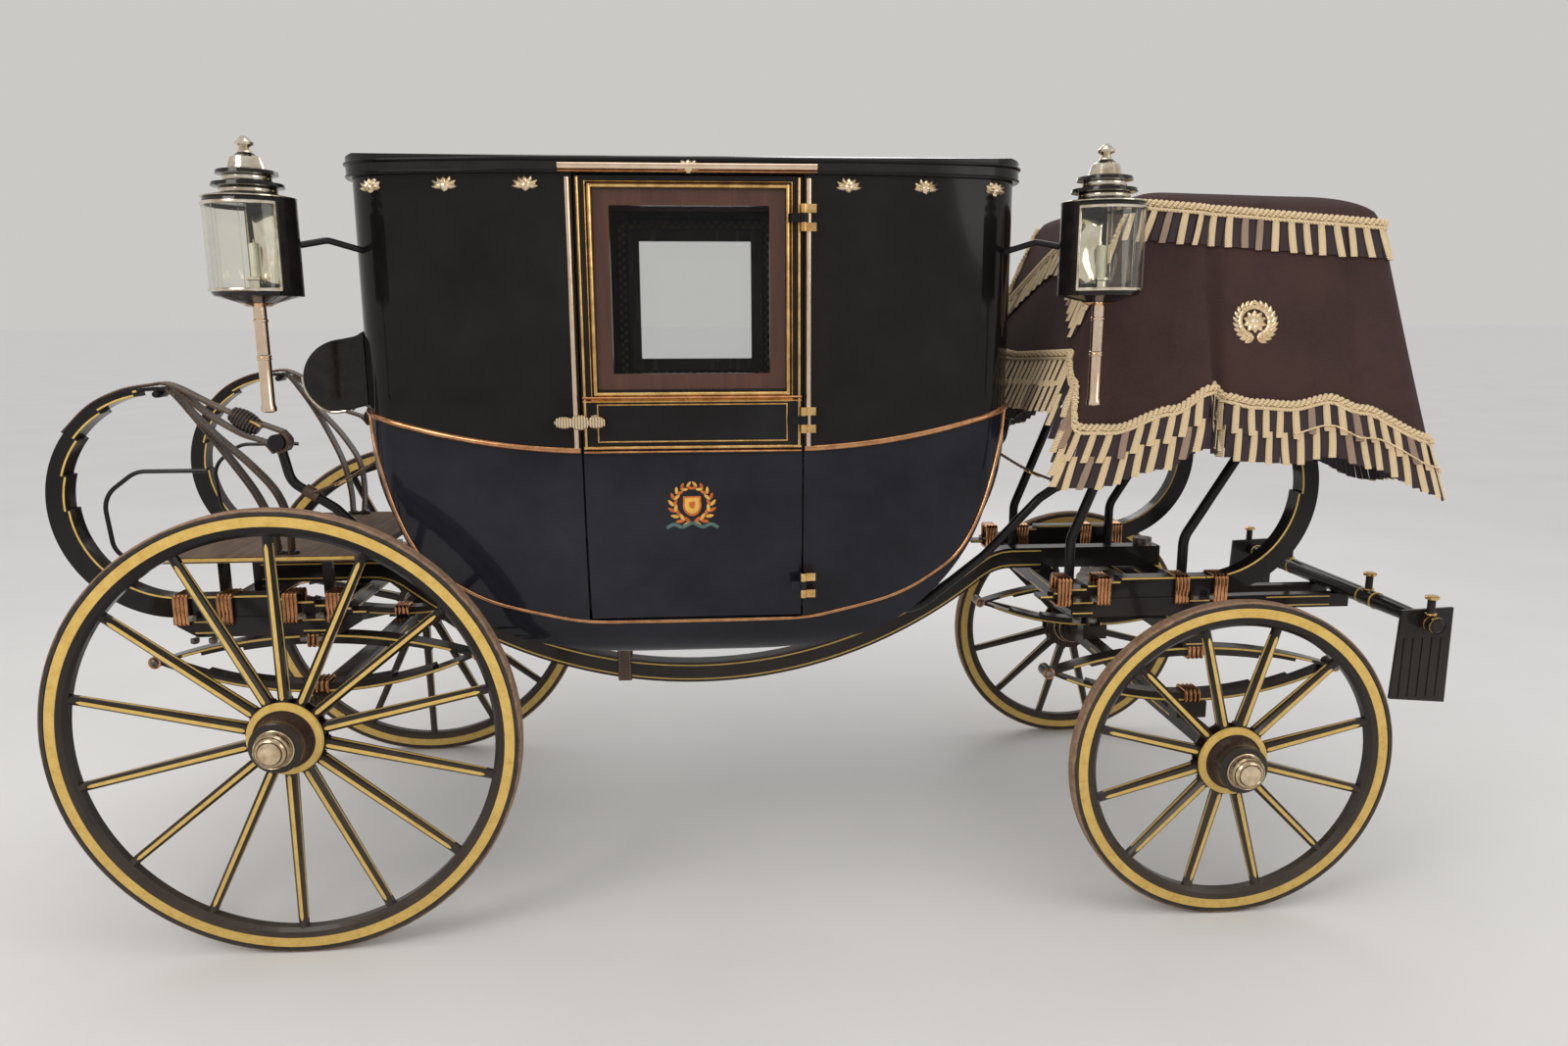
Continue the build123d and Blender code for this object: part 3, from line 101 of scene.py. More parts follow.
class Finish:
    """A Principled material and the nodes that feed it, in the coordinates of the carriage."""

    def __init__(self, name, **sockets):
        self.material = bpy.data.materials.new(name)
        self.material.use_nodes = True
        self.tree = self.material.node_tree
        self.shader = self.tree.nodes["Principled BSDF"]
        self.place = self.tree.nodes.new("ShaderNodeTexCoord").outputs["Object"]
        for key, value in sockets.items():
            self.shader.inputs[key.replace("_", " ")].default_value = value

    def node(self, kind, inputs=None, **settings):
        made = self.tree.nodes.new("ShaderNode" + kind)
        for key, value in settings.items():
            setattr(made, key, value)
        for key, value in (inputs or {}).items():
            if isinstance(value, bpy.types.NodeSocket):
                self.tree.links.new(value, made.inputs[key])
            else:
                made.inputs[key].default_value = value
        return made

    def feed(self, key, socket):
        self.tree.links.new(socket, self.shader.inputs[key])

    def scaled(self, scale):
        return self.node("Mapping", {"Vector": self.place, "Scale": scale}).outputs[0]

    def height(self):
        return self.node("SeparateXYZ", {0: self.place}).outputs[2]

    def noise(self, scale, detail=4.0, roughness=0.6, place=None, distortion=0.0):
        return self.node("TexNoise", {"Vector": place or self.place, "Scale": scale, "Detail": detail,
                                      "Roughness": roughness, "Distortion": distortion}).outputs["Fac"]

    def wave(self, scale, direction, place=None, distortion=0.0):
        inputs = {"Vector": place or self.place, "Scale": scale, "Distortion": distortion}
        return self.node("TexWave", inputs, wave_type="BANDS", wave_profile="SIN",
                         bands_direction=direction).outputs["Fac"]

    def ramp(self, factor, *stops):
        made = self.node("ValToRGB", {0: factor})
        for element, (position, colour) in zip(made.color_ramp.elements, stops):
            element.position, element.color = position, (*colour, 1)
        return made.outputs[0]

    def span(self, factor, low, high, start=0.0, end=1.0):
        inputs = {"Value": factor, "From Min": start, "From Max": end, "To Min": low, "To Max": high}
        return self.node("MapRange", inputs).outputs[0]

    def math(self, operation, first, second):
        return self.node("Math", {0: first, 1: second}, operation=operation).outputs[0]

    def blend(self, first, share, second):
        """A mix of two factors, share of the first and the rest of the second."""
        first = self.math("MULTIPLY", first, share)
        return self.math("ADD", first, self.math("MULTIPLY", second, 1 - share))

    def mix(self, factor, first, second):
        parts = [part if isinstance(part, bpy.types.NodeSocket) else (*part, 1) for part in (first, second)]
        return self.node("MixRGB", dict(enumerate([factor, *parts]))).outputs[0]

    def look(self, colour, rough, *bumps):
        """Feeds colour, roughness and bump layers of (height, strength, distance), the last on top."""
        self.feed("Base Color", colour)
        self.feed("Roughness", rough)
        normal = None
        for height, strength, distance in bumps:
            below = {"Normal": normal} if normal else {}
            inputs = {"Height": height, "Strength": strength, "Distance": distance, **below}
            normal = self.node("Bump", inputs).outputs[0]
        self.feed("Normal", normal)
        return self.material

    def low_dust(self, high, low):
        """1 near the road and 0 above, broken up by noise."""
        near = self.span(self.height(), 0.0, 1.0, high, low)
        return self.math("MULTIPLY", near, self.noise(7.0, 6.0, 0.7))


def varnish(name, colour, dust, gloss):
    """Coach paint under varnish: deep gloss with slow waves, faint dust and finger-wide haze."""
    finish = Finish(name, **VARNISH_COAT)
    haze = finish.noise(3.2, 5.0, 0.65)
    lighter = [min(1.0, part * 1.9 + 0.004) for part in colour]
    paint = finish.ramp(haze, (0.35, colour), (0.75, lighter))
    dirt = finish.math("MULTIPLY", finish.low_dust(0.95, 0.15), dust * 2)
    specks = finish.span(finish.noise(160.0, 2.0, 0.8), 0.0, dust * 0.5, 0.58, 0.80)
    dirt = finish.math("MAXIMUM", dirt, specks)
    colour = finish.mix(dirt, paint, DUST_COLOUR)
    rough = finish.span(finish.noise(11.0, 6.0, 0.7), gloss * 0.7, gloss * 2.0, 0.3, 0.75)
    rough = finish.math("ADD", rough, finish.math("MULTIPLY", dirt, 0.45))
    return finish.look(colour, rough, (finish.noise(2.6, 1.0, 0.4), 0.5, 0.006),
                       (finish.noise(420.0, 2.0), 0.12, 0.0004))


def metal(name, colour, tarnish, rough, scratch=60.0):
    """Worn metal: tarnish in patches and fine scratches."""
    finish = Finish(name, Metallic=1.0)
    tone = finish.ramp(finish.noise(26.0, 6.0, 0.7), (0.32, tarnish), (0.62, colour))
    fine = finish.noise(scratch, 4.0, 0.7, finish.scaled((1, 1, 14)))
    rough = finish.span(fine, rough, rough * 2.4, 0.35, 0.75)
    return finish.look(tone, rough, (finish.noise(90.0, 3.0), 0.25, 0.0006), (fine, 0.12, 0.0002))


def lining_paint(name, colour, shade):
    """Lining drawn by hand: a thick, slightly streaky line of paint under varnish."""
    finish = Finish(name, Coat_Weight=0.15, Coat_Roughness=0.08, Specular_IOR_Level=0.35)
    streak = finish.noise(38.0, 5.0, 0.7)
    base = finish.ramp(streak, (0.3, shade), (0.62, colour))
    dirt = finish.math("MULTIPLY", finish.low_dust(0.8, 0.1), 0.35)
    return finish.look(finish.mix(dirt, base, (0.13, 0.085, 0.045)),
                       finish.span(streak, 0.22, 0.42, 0.3, 0.7), (finish.noise(240.0, 3.0), 0.2, 0.0003))


def leather(name, colour, edge):
    """Harness leather: pebbled grain, creases and rubbed lighter patches."""
    finish = Finish(name, Coat_Weight=0.15, Coat_Roughness=0.3)
    cells = finish.node("TexVoronoi", {"Vector": finish.place, "Scale": 420.0}, feature="DISTANCE_TO_EDGE")
    grain = cells.outputs["Distance"]
    patches = finish.noise(14.0, 6.0, 0.7)
    base = finish.ramp(patches, (0.35, colour), (0.72, edge))
    tone = finish.mix(finish.span(grain, 0.35, 0.0, 0.0, 0.12), base, CREVICE)
    rough = finish.span(patches, 0.42, 0.273, 0.3, 0.8)
    creases = finish.noise(46.0, 3.0, 0.5, finish.scaled((1, 1, 0.35)), 1.5)
    return finish.look(tone, rough, (creases, 0.35, 0.002),
                       (finish.span(grain, 0.0, 1.0, 0.0, 0.25), 0.4, 0.0005))


def woven(name, dark, light, thread, sheen, rough):
    """Plain cloth: two crossed sets of threads, a soft nap and slow changes of tone."""
    finish = Finish(name, Sheen_Weight=sheen, Sheen_Roughness=0.45)
    finish.shader.inputs["Sheen Tint"].default_value = (*[min(1, part * 2.5 + 0.05) for part in light], 1)
    slant, back = (finish.wave(thread, "DIAGONAL", finish.scaled((1, 1, way)), 0.6) for way in (1, -1))
    weave = finish.math("MAXIMUM", slant, back)
    tone = finish.ramp(finish.blend(weave, 0.3, finish.noise(5.0, 6.0, 0.65)), (0.30, dark), (0.72, light))
    rough = finish.span(finish.noise(300.0, 2.0), rough - 0.1, min(1.0, rough + 0.1), 0.3, 0.7)
    return finish.look(tone, rough, (finish.noise(120.0, 4.0, 0.7), 0.35, 0.0012), (weave, 0.5, 0.0004))


def corded(name, dark, light, pitch=75.0, sheen=0.3):
    """Twisted cord: slanting ridges across each strand."""
    finish = Finish(name, Sheen_Weight=sheen, Sheen_Roughness=0.4)
    twist = finish.wave(pitch, "DIAGONAL", finish.scaled((1, 1, 1.6)), 1.0)
    fuzz = finish.noise(260.0, 4.0, 0.7)
    return finish.look(finish.ramp(finish.blend(twist, 0.55, fuzz), (0.25, dark), (0.62, light)),
                       finish.span(fuzz, 0.55, 0.8, 0.3, 0.7), (twist, 0.7, 0.0012), (fuzz, 0.3, 0.0004))


def wood(name, dark, light, along, scale, rough, coat):
    """Timber with its grain stretched along one direction."""
    finish = Finish(name, Coat_Weight=coat, Coat_Roughness=0.12)
    place = finish.scaled(tuple(0.8 if way == along else 14.0 for way in "xyz"))
    rings = finish.noise(scale * 0.5, 6.0, 0.65, place, 1.2)
    pores = finish.noise(scale * 9, 3.0, 0.6, place)
    tone = finish.mix(finish.span(pores, 0.35, 0.0, 0.30, 0.48),
                      finish.ramp(rings, (0.32, dark), (0.68, light)), CREVICE)
    return finish.look(tone, finish.span(rings, rough * 0.8, rough * 1.3, 0.3, 0.7), (pores, 0.3, 0.0004))


def pane(name, tint, rough=0.015, bend=1.45):
    """Old glass: a little wavy, lets the lamps through."""
    finish = Finish(name, Transmission_Weight=1.0, IOR=bend)
    finish.shader.inputs["Base Color"].default_value = (*tint, 1)
    finish.feed("Roughness", finish.span(finish.noise(9.0, 6.0, 0.7), rough, rough * 4, 0.5, 0.8))
    wavy = {"Height": finish.noise(7.0, 1.0, 0.4), "Strength": 0.12, "Distance": 0.004}
    finish.feed("Normal", finish.node("Bump", wavy).outputs[0])
    clear = finish.node("BsdfTransparent", {0: (*tint, 1)})
    shadow = finish.node("LightPath").outputs["Is Shadow Ray"]
    mixed = finish.node("MixShader", {0: shadow, 1: finish.shader.outputs[0], 2: clear.outputs[0]})
    finish.tree.links.new(mixed.outputs[0], finish.tree.nodes["Material Output"].inputs["Surface"])
    return finish.material


def rubber(name, end):
    """Tyre: black sides and a tread rubbed brown with road dust."""
    finish = Finish(name)
    centre_x, radius, _, _ = WHEELS[end]
    centre = (centre_x - MIDDLE_X, 0, radius)
    offset = finish.node("VectorMath", {0: finish.place, 1: centre}, operation="SUBTRACT")
    flat = finish.node("VectorMath", {0: offset.outputs[0], 1: (1, 0, 1)}, operation="MULTIPLY")
    out = finish.node("VectorMath", {0: flat.outputs[0]}, operation="LENGTH").outputs["Value"]
    worn = finish.span(finish.noise(16.0, 6.0, 0.7), -0.002, 0.002, 0.3, 0.7)
    tread = finish.span(finish.math("ADD", out, worn), 0.0, 1.0, radius - 0.0065, radius - 0.0035)
    side = finish.ramp(finish.noise(30.0, 6.0, 0.7),
                       (0.35, (0.012, 0.010, 0.009)), (0.8, (0.05, 0.036, 0.026)))
    road = finish.ramp(finish.noise(48.0, 8.0, 0.75),
                       (0.3, (0.15, 0.085, 0.045)), (0.72, (0.40, 0.25, 0.15)))
    return finish.look(finish.mix(tread, side, road), finish.span(tread, 0.45, 0.9),
                       (finish.noise(240.0, 4.0, 0.7), 0.5, 0.0008))


def lamp_paint(name):
    """Black japan of the lamps: smoother than the coach paint."""
    finish = Finish(name, Coat_Weight=0.15, Coat_Roughness=0.05, Specular_IOR_Level=0.25)
    haze = finish.noise(20.0, 5.0, 0.7)
    return finish.look(finish.ramp(haze, (0.4, (0.008, 0.007, 0.007)), (0.8, (0.022, 0.017, 0.015))),
                       finish.span(haze, 0.08, 0.15, 0.3, 0.7), (finish.noise(60.0, 3.0), 0.1, 0.0006))


def lace(name):
    """Broad coach lace: small lozenges on an olive ground."""
    finish = Finish(name, Sheen_Weight=0.3, Sheen_Roughness=0.4)
    slant, back = (finish.wave(22.0, "DIAGONAL", finish.scaled((1, 0.01, way))) for way in (1, -1))
    lozenge = finish.math("MULTIPLY", slant, back)
    return finish.look(finish.ramp(lozenge, (0.2, (0.060, 0.048, 0.022)), (0.45, (0.30, 0.22, 0.10))),
                       finish.span(finish.noise(200.0), 0.7, 0.9, 0.3, 0.7),
                       (lozenge, 0.5, 0.001), (finish.wave(500.0, "X"), 0.4, 0.0004))


def reeded_gilt(name):
    """Gilt with turned ridges along X, for the door handles."""
    finish = Finish(name, Metallic=1.0)
    ridges = finish.wave(44.0, "X")
    return finish.look(finish.ramp(ridges, (0.10, (0.42, 0.27, 0.13)), (0.45, (0.96, 0.80, 0.56))),
                       finish.span(finish.noise(60.0, 4.0, 0.7), 0.14, 0.32, 0.35, 0.75),
                       (ridges, 0.9, 0.0022), (finish.noise(300.0, 3.0), 0.1, 0.0003))


def two_tone_door(name):
    """The door's paint: black above the belt and blue black below it."""
    finish = Finish(name, **VARNISH_COAT)
    above = finish.math("GREATER_THAN", finish.height(), BELT_DOOR)
    haze = finish.noise(3.2, 5.0, 0.65)
    low = finish.ramp(haze, (0.35, BLUE_BLACK), (0.75, (0.020, 0.021, 0.030)))
    high = finish.ramp(haze, (0.35, BLACK), (0.75, (0.018, 0.017, 0.018)))
    return finish.look(finish.mix(above, low, high),
                       finish.span(finish.noise(11.0, 6.0, 0.7), 0.042, 0.12, 0.3, 0.75),
                       (finish.noise(2.6, 1.0, 0.4), 0.5, 0.006), (finish.noise(420.0, 2.0), 0.12, 0.0004))


def board_and_irons(name):
    """The footmen's platform: worn boards on top of black painted irons."""
    finish = Finish(name, Specular_IOR_Level=0.35)
    parts = finish.node("SeparateXYZ", {0: finish.place}).outputs
    board = finish.math("MULTIPLY", finish.math("GREATER_THAN", parts[2], 0.9893),
                        finish.math("LESS_THAN", parts[2], 1.0086))
    board = finish.math("MULTIPLY", board, finish.math("GREATER_THAN", parts[0], -1.531 - MIDDLE_X))
    grain = finish.noise(3.5, 6.0, 0.65, finish.scaled((14, 0.8, 14)), 1.2)
    wear = finish.noise(9.0, 6.0, 0.7)
    worn = finish.ramp(grain, (0.32, (0.060, 0.034, 0.020)), (0.68, (0.17, 0.105, 0.062)))
    tone = finish.mix(board, finish.ramp(wear, (0.35, BLACK), (0.8, (0.03, 0.024, 0.02))), worn)
    rough = finish.math("ADD", finish.math("MULTIPLY", board, 0.4), finish.span(wear, 0.12, 0.3, 0.3, 0.7))
    return finish.look(tone, rough, (grain, 0.25, 0.0006), (finish.noise(240.0, 3.0), 0.15, 0.0003))


def candle_wax():
    finish = Finish("candle_wax", Subsurface_Weight=0.25)
    tone = finish.noise(40.0, 4.0)
    return finish.look(finish.ramp(tone, (0.3, (0.72, 0.62, 0.44)), (0.7, (0.86, 0.79, 0.62))),
                       finish.span(tone, 0.3, 0.5, 0.3, 0.7), (tone, 0.3, 0.0008))


coach_black = varnish("coach_black_varnish", BLACK, dust=0.08, gloss=0.06)
panel_dark = varnish("blue_black_panel", BLUE_BLACK, dust=0.08, gloss=0.06)
roof_black = varnish("roof_black_paint", (0.012, 0.011, 0.011), dust=0.35, gloss=0.16)
carriage_black = varnish("carriage_black_paint", (0.009, 0.008, 0.008), dust=0.45, gloss=0.10)
wheel_black = varnish("wheel_black_paint", (0.010, 0.0085, 0.008), dust=0.45, gloss=0.09)
nave_brown = varnish("nave_brown_varnish", (0.020, 0.009, 0.007), dust=0.3, gloss=0.07)
iron_black = varnish("iron_black_paint", (0.010, 0.009, 0.009), dust=0.35, gloss=0.14)
ochre = lining_paint("ochre_lining", (0.72, 0.49, 0.13), (0.60, 0.37, 0.08))
copper = metal("copper_moulding", (0.64, 0.33, 0.16), (0.36, 0.17, 0.08), 0.15)
brass = metal("brass_moulding", (0.86, 0.58, 0.24), (0.48, 0.28, 0.09), 0.13)
gilt = metal("gilt_ornament", (0.96, 0.82, 0.60), (0.70, 0.52, 0.30), 0.20)
cap_metal = metal("worn_hub_cap", (0.80, 0.66, 0.46), (0.44, 0.31, 0.18), 0.14)
silver = metal("silver_plate", (0.86, 0.80, 0.68), (0.50, 0.40, 0.27), 0.10)
tube_metal = metal("coppery_silver", (0.90, 0.72, 0.55), (0.78, 0.57, 0.41), 0.08, 12.0)
mirror_silver = metal("lamp_reflector", (0.92, 0.88, 0.78), (0.75, 0.66, 0.50), 0.05)
steel = metal("greased_steel", (0.34, 0.31, 0.28), (0.07, 0.055, 0.045), 0.28)
brown_leather = leather("brown_harness_leather", (0.040, 0.018, 0.009), (0.12, 0.058, 0.028))
dark_leather = leather("black_harness_leather", (0.014, 0.010, 0.008), (0.050, 0.032, 0.022))
thread = corded("waxed_thread", (0.25, 0.17, 0.09), (0.60, 0.47, 0.30), 900.0)
plum_cloth = woven("plum_hammercloth", (0.024, 0.0095, 0.0085), (0.056, 0.0240, 0.0190), 460.0, 0.03, 0.92)
cream_cord = corded("cream_cord", (0.44, 0.29, 0.15), (0.98, 0.80, 0.50), sheen=0.05)
plum_cord = corded("plum_cord", (0.012, 0.0060, 0.009), (0.046, 0.025, 0.032), sheen=0.02)
grey_cord = corded("worn_cord", (0.16, 0.10, 0.07), (0.52, 0.37, 0.26), sheen=0.05)
gold_cloth = woven("gold_brown_upholstery", (0.20, 0.105, 0.030), (0.42, 0.25, 0.085), 380.0, 0.4, 0.8)
brown_cloth = woven("dark_brown_lining", (0.030, 0.016, 0.011), (0.075, 0.042, 0.028), 420.0, 0.35, 0.85)
coach_lace = lace("coach_lace")
mahogany = wood("mahogany_sash", (0.062, 0.022, 0.013), (0.092, 0.035, 0.019), "z", 3.0, 0.24, 0.1)
floor_wood = wood("worn_boards", (0.11, 0.065, 0.035), (0.30, 0.20, 0.12), "x", 7.0, 0.6, 0.0)
box_wood = wood("dark_seat_box", (0.035, 0.018, 0.012), (0.10, 0.055, 0.035), "y", 7.0, 0.5, 0.1)
window_glass = pane("window_glass", (0.88, 0.89, 0.89), bend=1.2)
lamp_glass = pane("lamp_glass", (0.95, 0.95, 0.90), 0.008)
lamp_black = lamp_paint("black_japan")
rear_tyre_rubber = rubber("rear_tyre", "rear")
front_tyre_rubber = rubber("front_tyre", "front")
crest_red = lining_paint("crest_orange", (0.62, 0.15, 0.02), (0.36, 0.06, 0.01))
crest_gold = lining_paint("crest_gold", (0.80, 0.46, 0.08), (0.55, 0.27, 0.03))
crest_green = lining_paint("crest_green", (0.10, 0.17, 0.15), (0.04, 0.09, 0.09))
reeded = reeded_gilt("reeded_gilt")
door_paint = two_tone_door("door_varnish")
platform_paint = board_and_irons("platform_boards_and_irons")
CORDS = [cream_cord, grey_cord, plum_cord]

NODE_FINISH = {
    coach_black: "rear_upper_panels front_upper_panels",
    panel_dark: "lower_body_panels",
    roof_black: "roof_panel",
    floor_wood: "floor_boards",
    box_wood: "seat_boxes",
    lamp_black: "sword_case lamp_cases",
    brass: "door_hinges",
    reeded: "right_door_handle left_door_handle",
    iron_black: "lamp_brackets body_loops coachman_seat_frame step_plates",
    carriage_black: "perch hind_axle hind_elliptic_springs hind_bed hind_c_springs front_transom "
                    "front_c_springs fore_bed futchells splinter_bar fore_axle fore_elliptic_springs",
    steel: "upper_wheel_plate lower_wheel_plate perch_bolt",
    lamp_glass: "lamp_glasses",
    mahogany: "right_door_sash left_door_sash",
    window_glass: "right_door_glass left_door_glass",
    wheel_black: "rear_right_wheel rear_left_wheel front_right_wheel front_left_wheel",
    nave_brown: "rear_right_hub rear_left_hub front_right_hub front_left_hub",
    rear_tyre_rubber: "rear_right_tyre rear_left_tyre",
    front_tyre_rubber: "front_right_tyre front_left_tyre",
    door_paint: "right_door left_door",
    platform_paint: "footmens_platform",
}
for material, names in NODE_FINISH.items():
    for node_name in names.split():
        for place in nodes[node_name].material_slots:
            place.material = material


# Shapes


def frames_along(path, normals, closed):
    """Each point of a path with the directions across it and out of the surface."""
    count = len(path)
    out = None
    frames = []
    for index, point in enumerate(path):
        after = path[(index + 1) % count] if closed or index + 1 < count else point
        before = path[index - 1] if closed or index else point
        along = (after - before).normalized()
        if normals is not None:
            out = Vector(normals[index]) if isinstance(normals, list) else Vector(normals)
        elif out is None:
            out = Vector((0, 0, 1)) if abs(along.z) < 0.9 else Vector((1, 0, 0))
        out = (out - along * out.dot(along)).normalized()
        frames.append((point, along.cross(out).normalized(), out))
    return frames


def round_profile(radius, sides):
    return [(radius * math.cos(turn), radius * math.sin(turn))
            for turn in (2 * math.pi * index / sides for index in range(sides))]


def bead_profile(width, height, sunk=0.001):
    """Half-round moulding that stands on a surface."""
    half = width / 2
    arch = [(half * math.cos(angle), height * math.sin(angle))
            for angle in (math.pi * index / 6 for index in range(7))]
    return [(half, -sunk)] + arch + [(-half, -sunk)]


def bar_profile(width, height, ease=0.0008, sunk=0.0):
    half = width / 2
    return [(half, -sunk), (half, height - ease), (half - ease, height),
            (-half + ease, height), (-half, height - ease), (-half, -sunk)]


class Shape:
    """Vertices and faces gathered for one piece; each face keeps the number of its material."""

    def __init__(self):
        self.vertices, self.faces, self.kinds = [], [], []

    def rings(self, rings, kind=0, closed=False, caps=True, open_ring=False):
        start, count = len(self.vertices), len(rings[0])
        for ring in rings:
            self.vertices.extend(ring)
        around = count - 1 if open_ring else count
        for row in range(len(rings) if closed else len(rings) - 1):
            here, there = start + row * count, start + (row + 1) % len(rings) * count
            for column in range(around):
                following = (column + 1) % count
                self.faces.append((here + column, here + following, there + following, there + column))
                self.kinds.append(kind)
        if caps and not closed and not open_ring:
            self.faces.append(tuple(range(start + count - 1, start - 1, -1)))
            self.faces.append(tuple(range(start + (len(rings) - 1) * count, start + len(rings) * count)))
            self.kinds += [kind, kind]

    def sweep(self, path, profile, normals=None, closed=False, kind=0):
        rings = [[point + across * a + out * b for a, b in profile]
                 for point, across, out in frames_along(path, normals, closed)]
        self.rings(rings, kind, closed)

    def bar(self, first, last, profile, facing, kind=0):
        self.sweep(line(first, last, 3), profile, facing, kind=kind)

    def lathe(self, profile, origin, axis=(0, 0, 1), sides=40, kind=0, caps=True):
        """Turned from (radius, height) pairs about an axis through the origin."""
        axis = Vector(axis).normalized()
        first = axis.orthogonal().normalized()
        second = axis.cross(first)
        turns = [2 * math.pi * index / sides for index in range(sides)]
        spokes = [first * math.cos(turn) + second * math.sin(turn) for turn in turns]
        rings = [[origin + axis * height + spoke * max(radius, 1e-4) for spoke in spokes]
                 for radius, height in profile]
        self.rings(rings, kind, caps=caps)

    def place_copy(self, other, matrix, kind=None):
        start = len(self.vertices)
        self.vertices.extend(matrix @ Vector(vertex) for vertex in other.vertices)
        self.faces.extend(tuple(start + index for index in face) for face in other.faces)
        self.kinds.extend(other.kinds if kind is None else [kind] * len(other.kinds))


def placed(name, data):
    made = bpy.data.objects.new(name, data)
    bpy.context.scene.collection.objects.link(made)
    return made


def piece(name, shape, body, materials, smooth=40):
    mesh = bpy.data.meshes.new(name)
    mesh.from_pydata([tuple(vertex) for vertex in shape.vertices], [], shape.faces)
    mesh.polygons.foreach_set("material_index", shape.kinds)
    for material in materials:
        mesh.materials.append(material)
    work = bmesh.new()
    work.from_mesh(mesh)
    bmesh.ops.recalc_face_normals(work, faces=work.faces)
    work.to_mesh(mesh)
    work.free()
    mesh.polygons.foreach_set("use_smooth", [True] * len(mesh.polygons))
    mesh.set_sharp_from_angle(angle=math.radians(smooth))
    made = placed(name, mesh)
    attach(made, body)
    return made


def line(first, last, count):
    return [first.lerp(last, index / (count - 1)) for index in range(count)]


def arc(centre, radius, start, end, count, y):
    """Points of an arc in an upright plane along the carriage; angles from +X towards +Z."""
    points = []
    for index in range(count):
        angle = math.radians(start + (end - start) * index / (count - 1))
        points.append(Vector((centre.x + radius * math.cos(angle), y, centre.z + radius * math.sin(angle))))
    return points


def smooth_line(points, per_span):
    """A curve through a few points."""
    out = []
    padded = [points[0] * 2 - points[1]] + list(points) + [points[-1] * 2 - points[-2]]
    for a, b, c, d in zip(padded, padded[1:], padded[2:], padded[3:]):
        for step in range(per_span):
            t = step / per_span
            out.append(0.5 * (2 * b + (c - a) * t + (2 * a - 5 * b + 4 * c - d) * t ** 2
                              + (3 * b - a - 3 * c + d) * t ** 3))
    return out + [points[-1]]


def tree_of(names):
    vertices, faces = [], []
    for name in names:
        mesh = nodes[name].data
        start = len(vertices)
        vertices += [vertex.co.copy() for vertex in mesh.vertices]
        faces += [tuple(start + index for index in polygon.vertices) for polygon in mesh.polygons]
    return BVHTree.FromPolygons(vertices, faces)


def cast(tree, start, way):
    """Where a ray meets a surface, or None."""
    return tree.ray_cast(start, Vector(way))[0]


def painted_line(width):
    """The section of a line of lining paint."""
    return bar_profile(width, 0.0006, 0.0002, 0.0002)


def rectangle(half, low, high):
    """The edges of an upright rectangle about the door's middle, as pairs of (x, z)."""
    corners = [(-half, low), (half, low), (half, high), (-half, high)]
    return zip(corners, corners[1:] + corners[:1])


def rounded_loop(middle, first, second, half_first, half_second, radius):
    """A rounded rectangle about a point, in the plane of two directions."""
    loop = []
    for quarter, (a, b) in enumerate(((1, 1), (-1, 1), (-1, -1), (1, -1))):
        for step in range(5):
            turn = math.radians(90 * quarter + 90 * step / 4)
            loop.append(middle + first * (a * (half_first - radius) + radius * math.cos(turn))
                        + second * (b * (half_second - radius) + radius * math.sin(turn)))
    return loop


body_tree = tree_of(BODY_WALLS + ["right_door", "left_door"])


def on_side(x, z, side, lift=0.0):
    """The body's surface at a place on its side, and the direction out of it."""
    for nudge in (0.0, 0.006, -0.006, 0.012):
        hit, normal, _, _ = body_tree.ray_cast(at(x + nudge, side, z), Vector((0, -side, 0)))
        if hit and abs(hit.y) > 0.35:
            return Vector((at(x, 0, 0).x, hit.y, z)) + normal * lift, normal
    raise ValueError(f"no body side at {x}, {z}")


def plan_points():
    """Points round the body's plan with the direction out of it, from the middle of one side."""
    quarter = BODY_HALF_LENGTH - CORNER_START - FLAT_SIDE
    radius = (quarter ** 2 + QUARTER_SWEEP ** 2) / (2 * QUARTER_SWEEP)
    turn = math.asin(quarter / radius)
    small = CORNER_START / (1 - math.sin(turn))
    corner = (BODY_HALF_LENGTH - small, BODY_HALF_WIDTH - QUARTER_SWEEP - small * math.cos(turn))
    points = [(x * FLAT_SIDE / 16, BODY_HALF_WIDTH, 0.0) for x in range(16)]
    for index in range(20):
        angle = turn * index / 20
        points.append((FLAT_SIDE + radius * math.sin(angle),
                       BODY_HALF_WIDTH - radius * (1 - math.cos(angle)), angle))
    for index in range(12):
        angle = turn + (math.pi / 2 - turn) * index / 12
        points.append((corner[0] + small * math.sin(angle), corner[1] + small * math.cos(angle), angle))
    points += [(BODY_HALF_LENGTH, corner[1] * (1 - index / 14), math.pi / 2) for index in range(15)]
    one = [(x, y, math.sin(a), math.cos(a)) for x, y, a in points]
    front = one + [(x, -y, nx, -ny) for x, y, nx, ny in reversed(one[:-1])]
    return front + [(-x, y, -nx, ny) for x, y, nx, ny in reversed(front[1:-1])]


def belt_height(x):
    """Height of the belt line, level at the door and rising to the ends on one arc."""
    reach = abs(x) - BELT_FLAT
    if reach <= 0:
        return BELT_DOOR
    span = BODY_HALF_LENGTH + 0.010 - BELT_FLAT
    rise, sag = BELT_END - BELT_DOOR, 0.30
    share = reach / span
    return BELT_DOOR + rise * (share * (4 * sag - 1) + share ** 2 * (2 - 4 * sag))


# Body mouldings

# The lower moulding of half a side, as pairs of (x, z)
LOWER_MOULDING = ((0.000, 0.8545), (0.150, 0.8548), (0.290, 0.8585), (0.400, 0.8790), (0.539, 0.915),
                  (0.640, 0.966), (0.727, 1.037), (0.790, 1.165), (0.838, 1.330), (0.852, 1.412))


def side_moulding(shape, places, side, profile, kind=0):
    points, normals = zip(*(on_side(x, z, side) for x, z in places))
    shape.sweep(points, profile, list(normals), kind=kind)


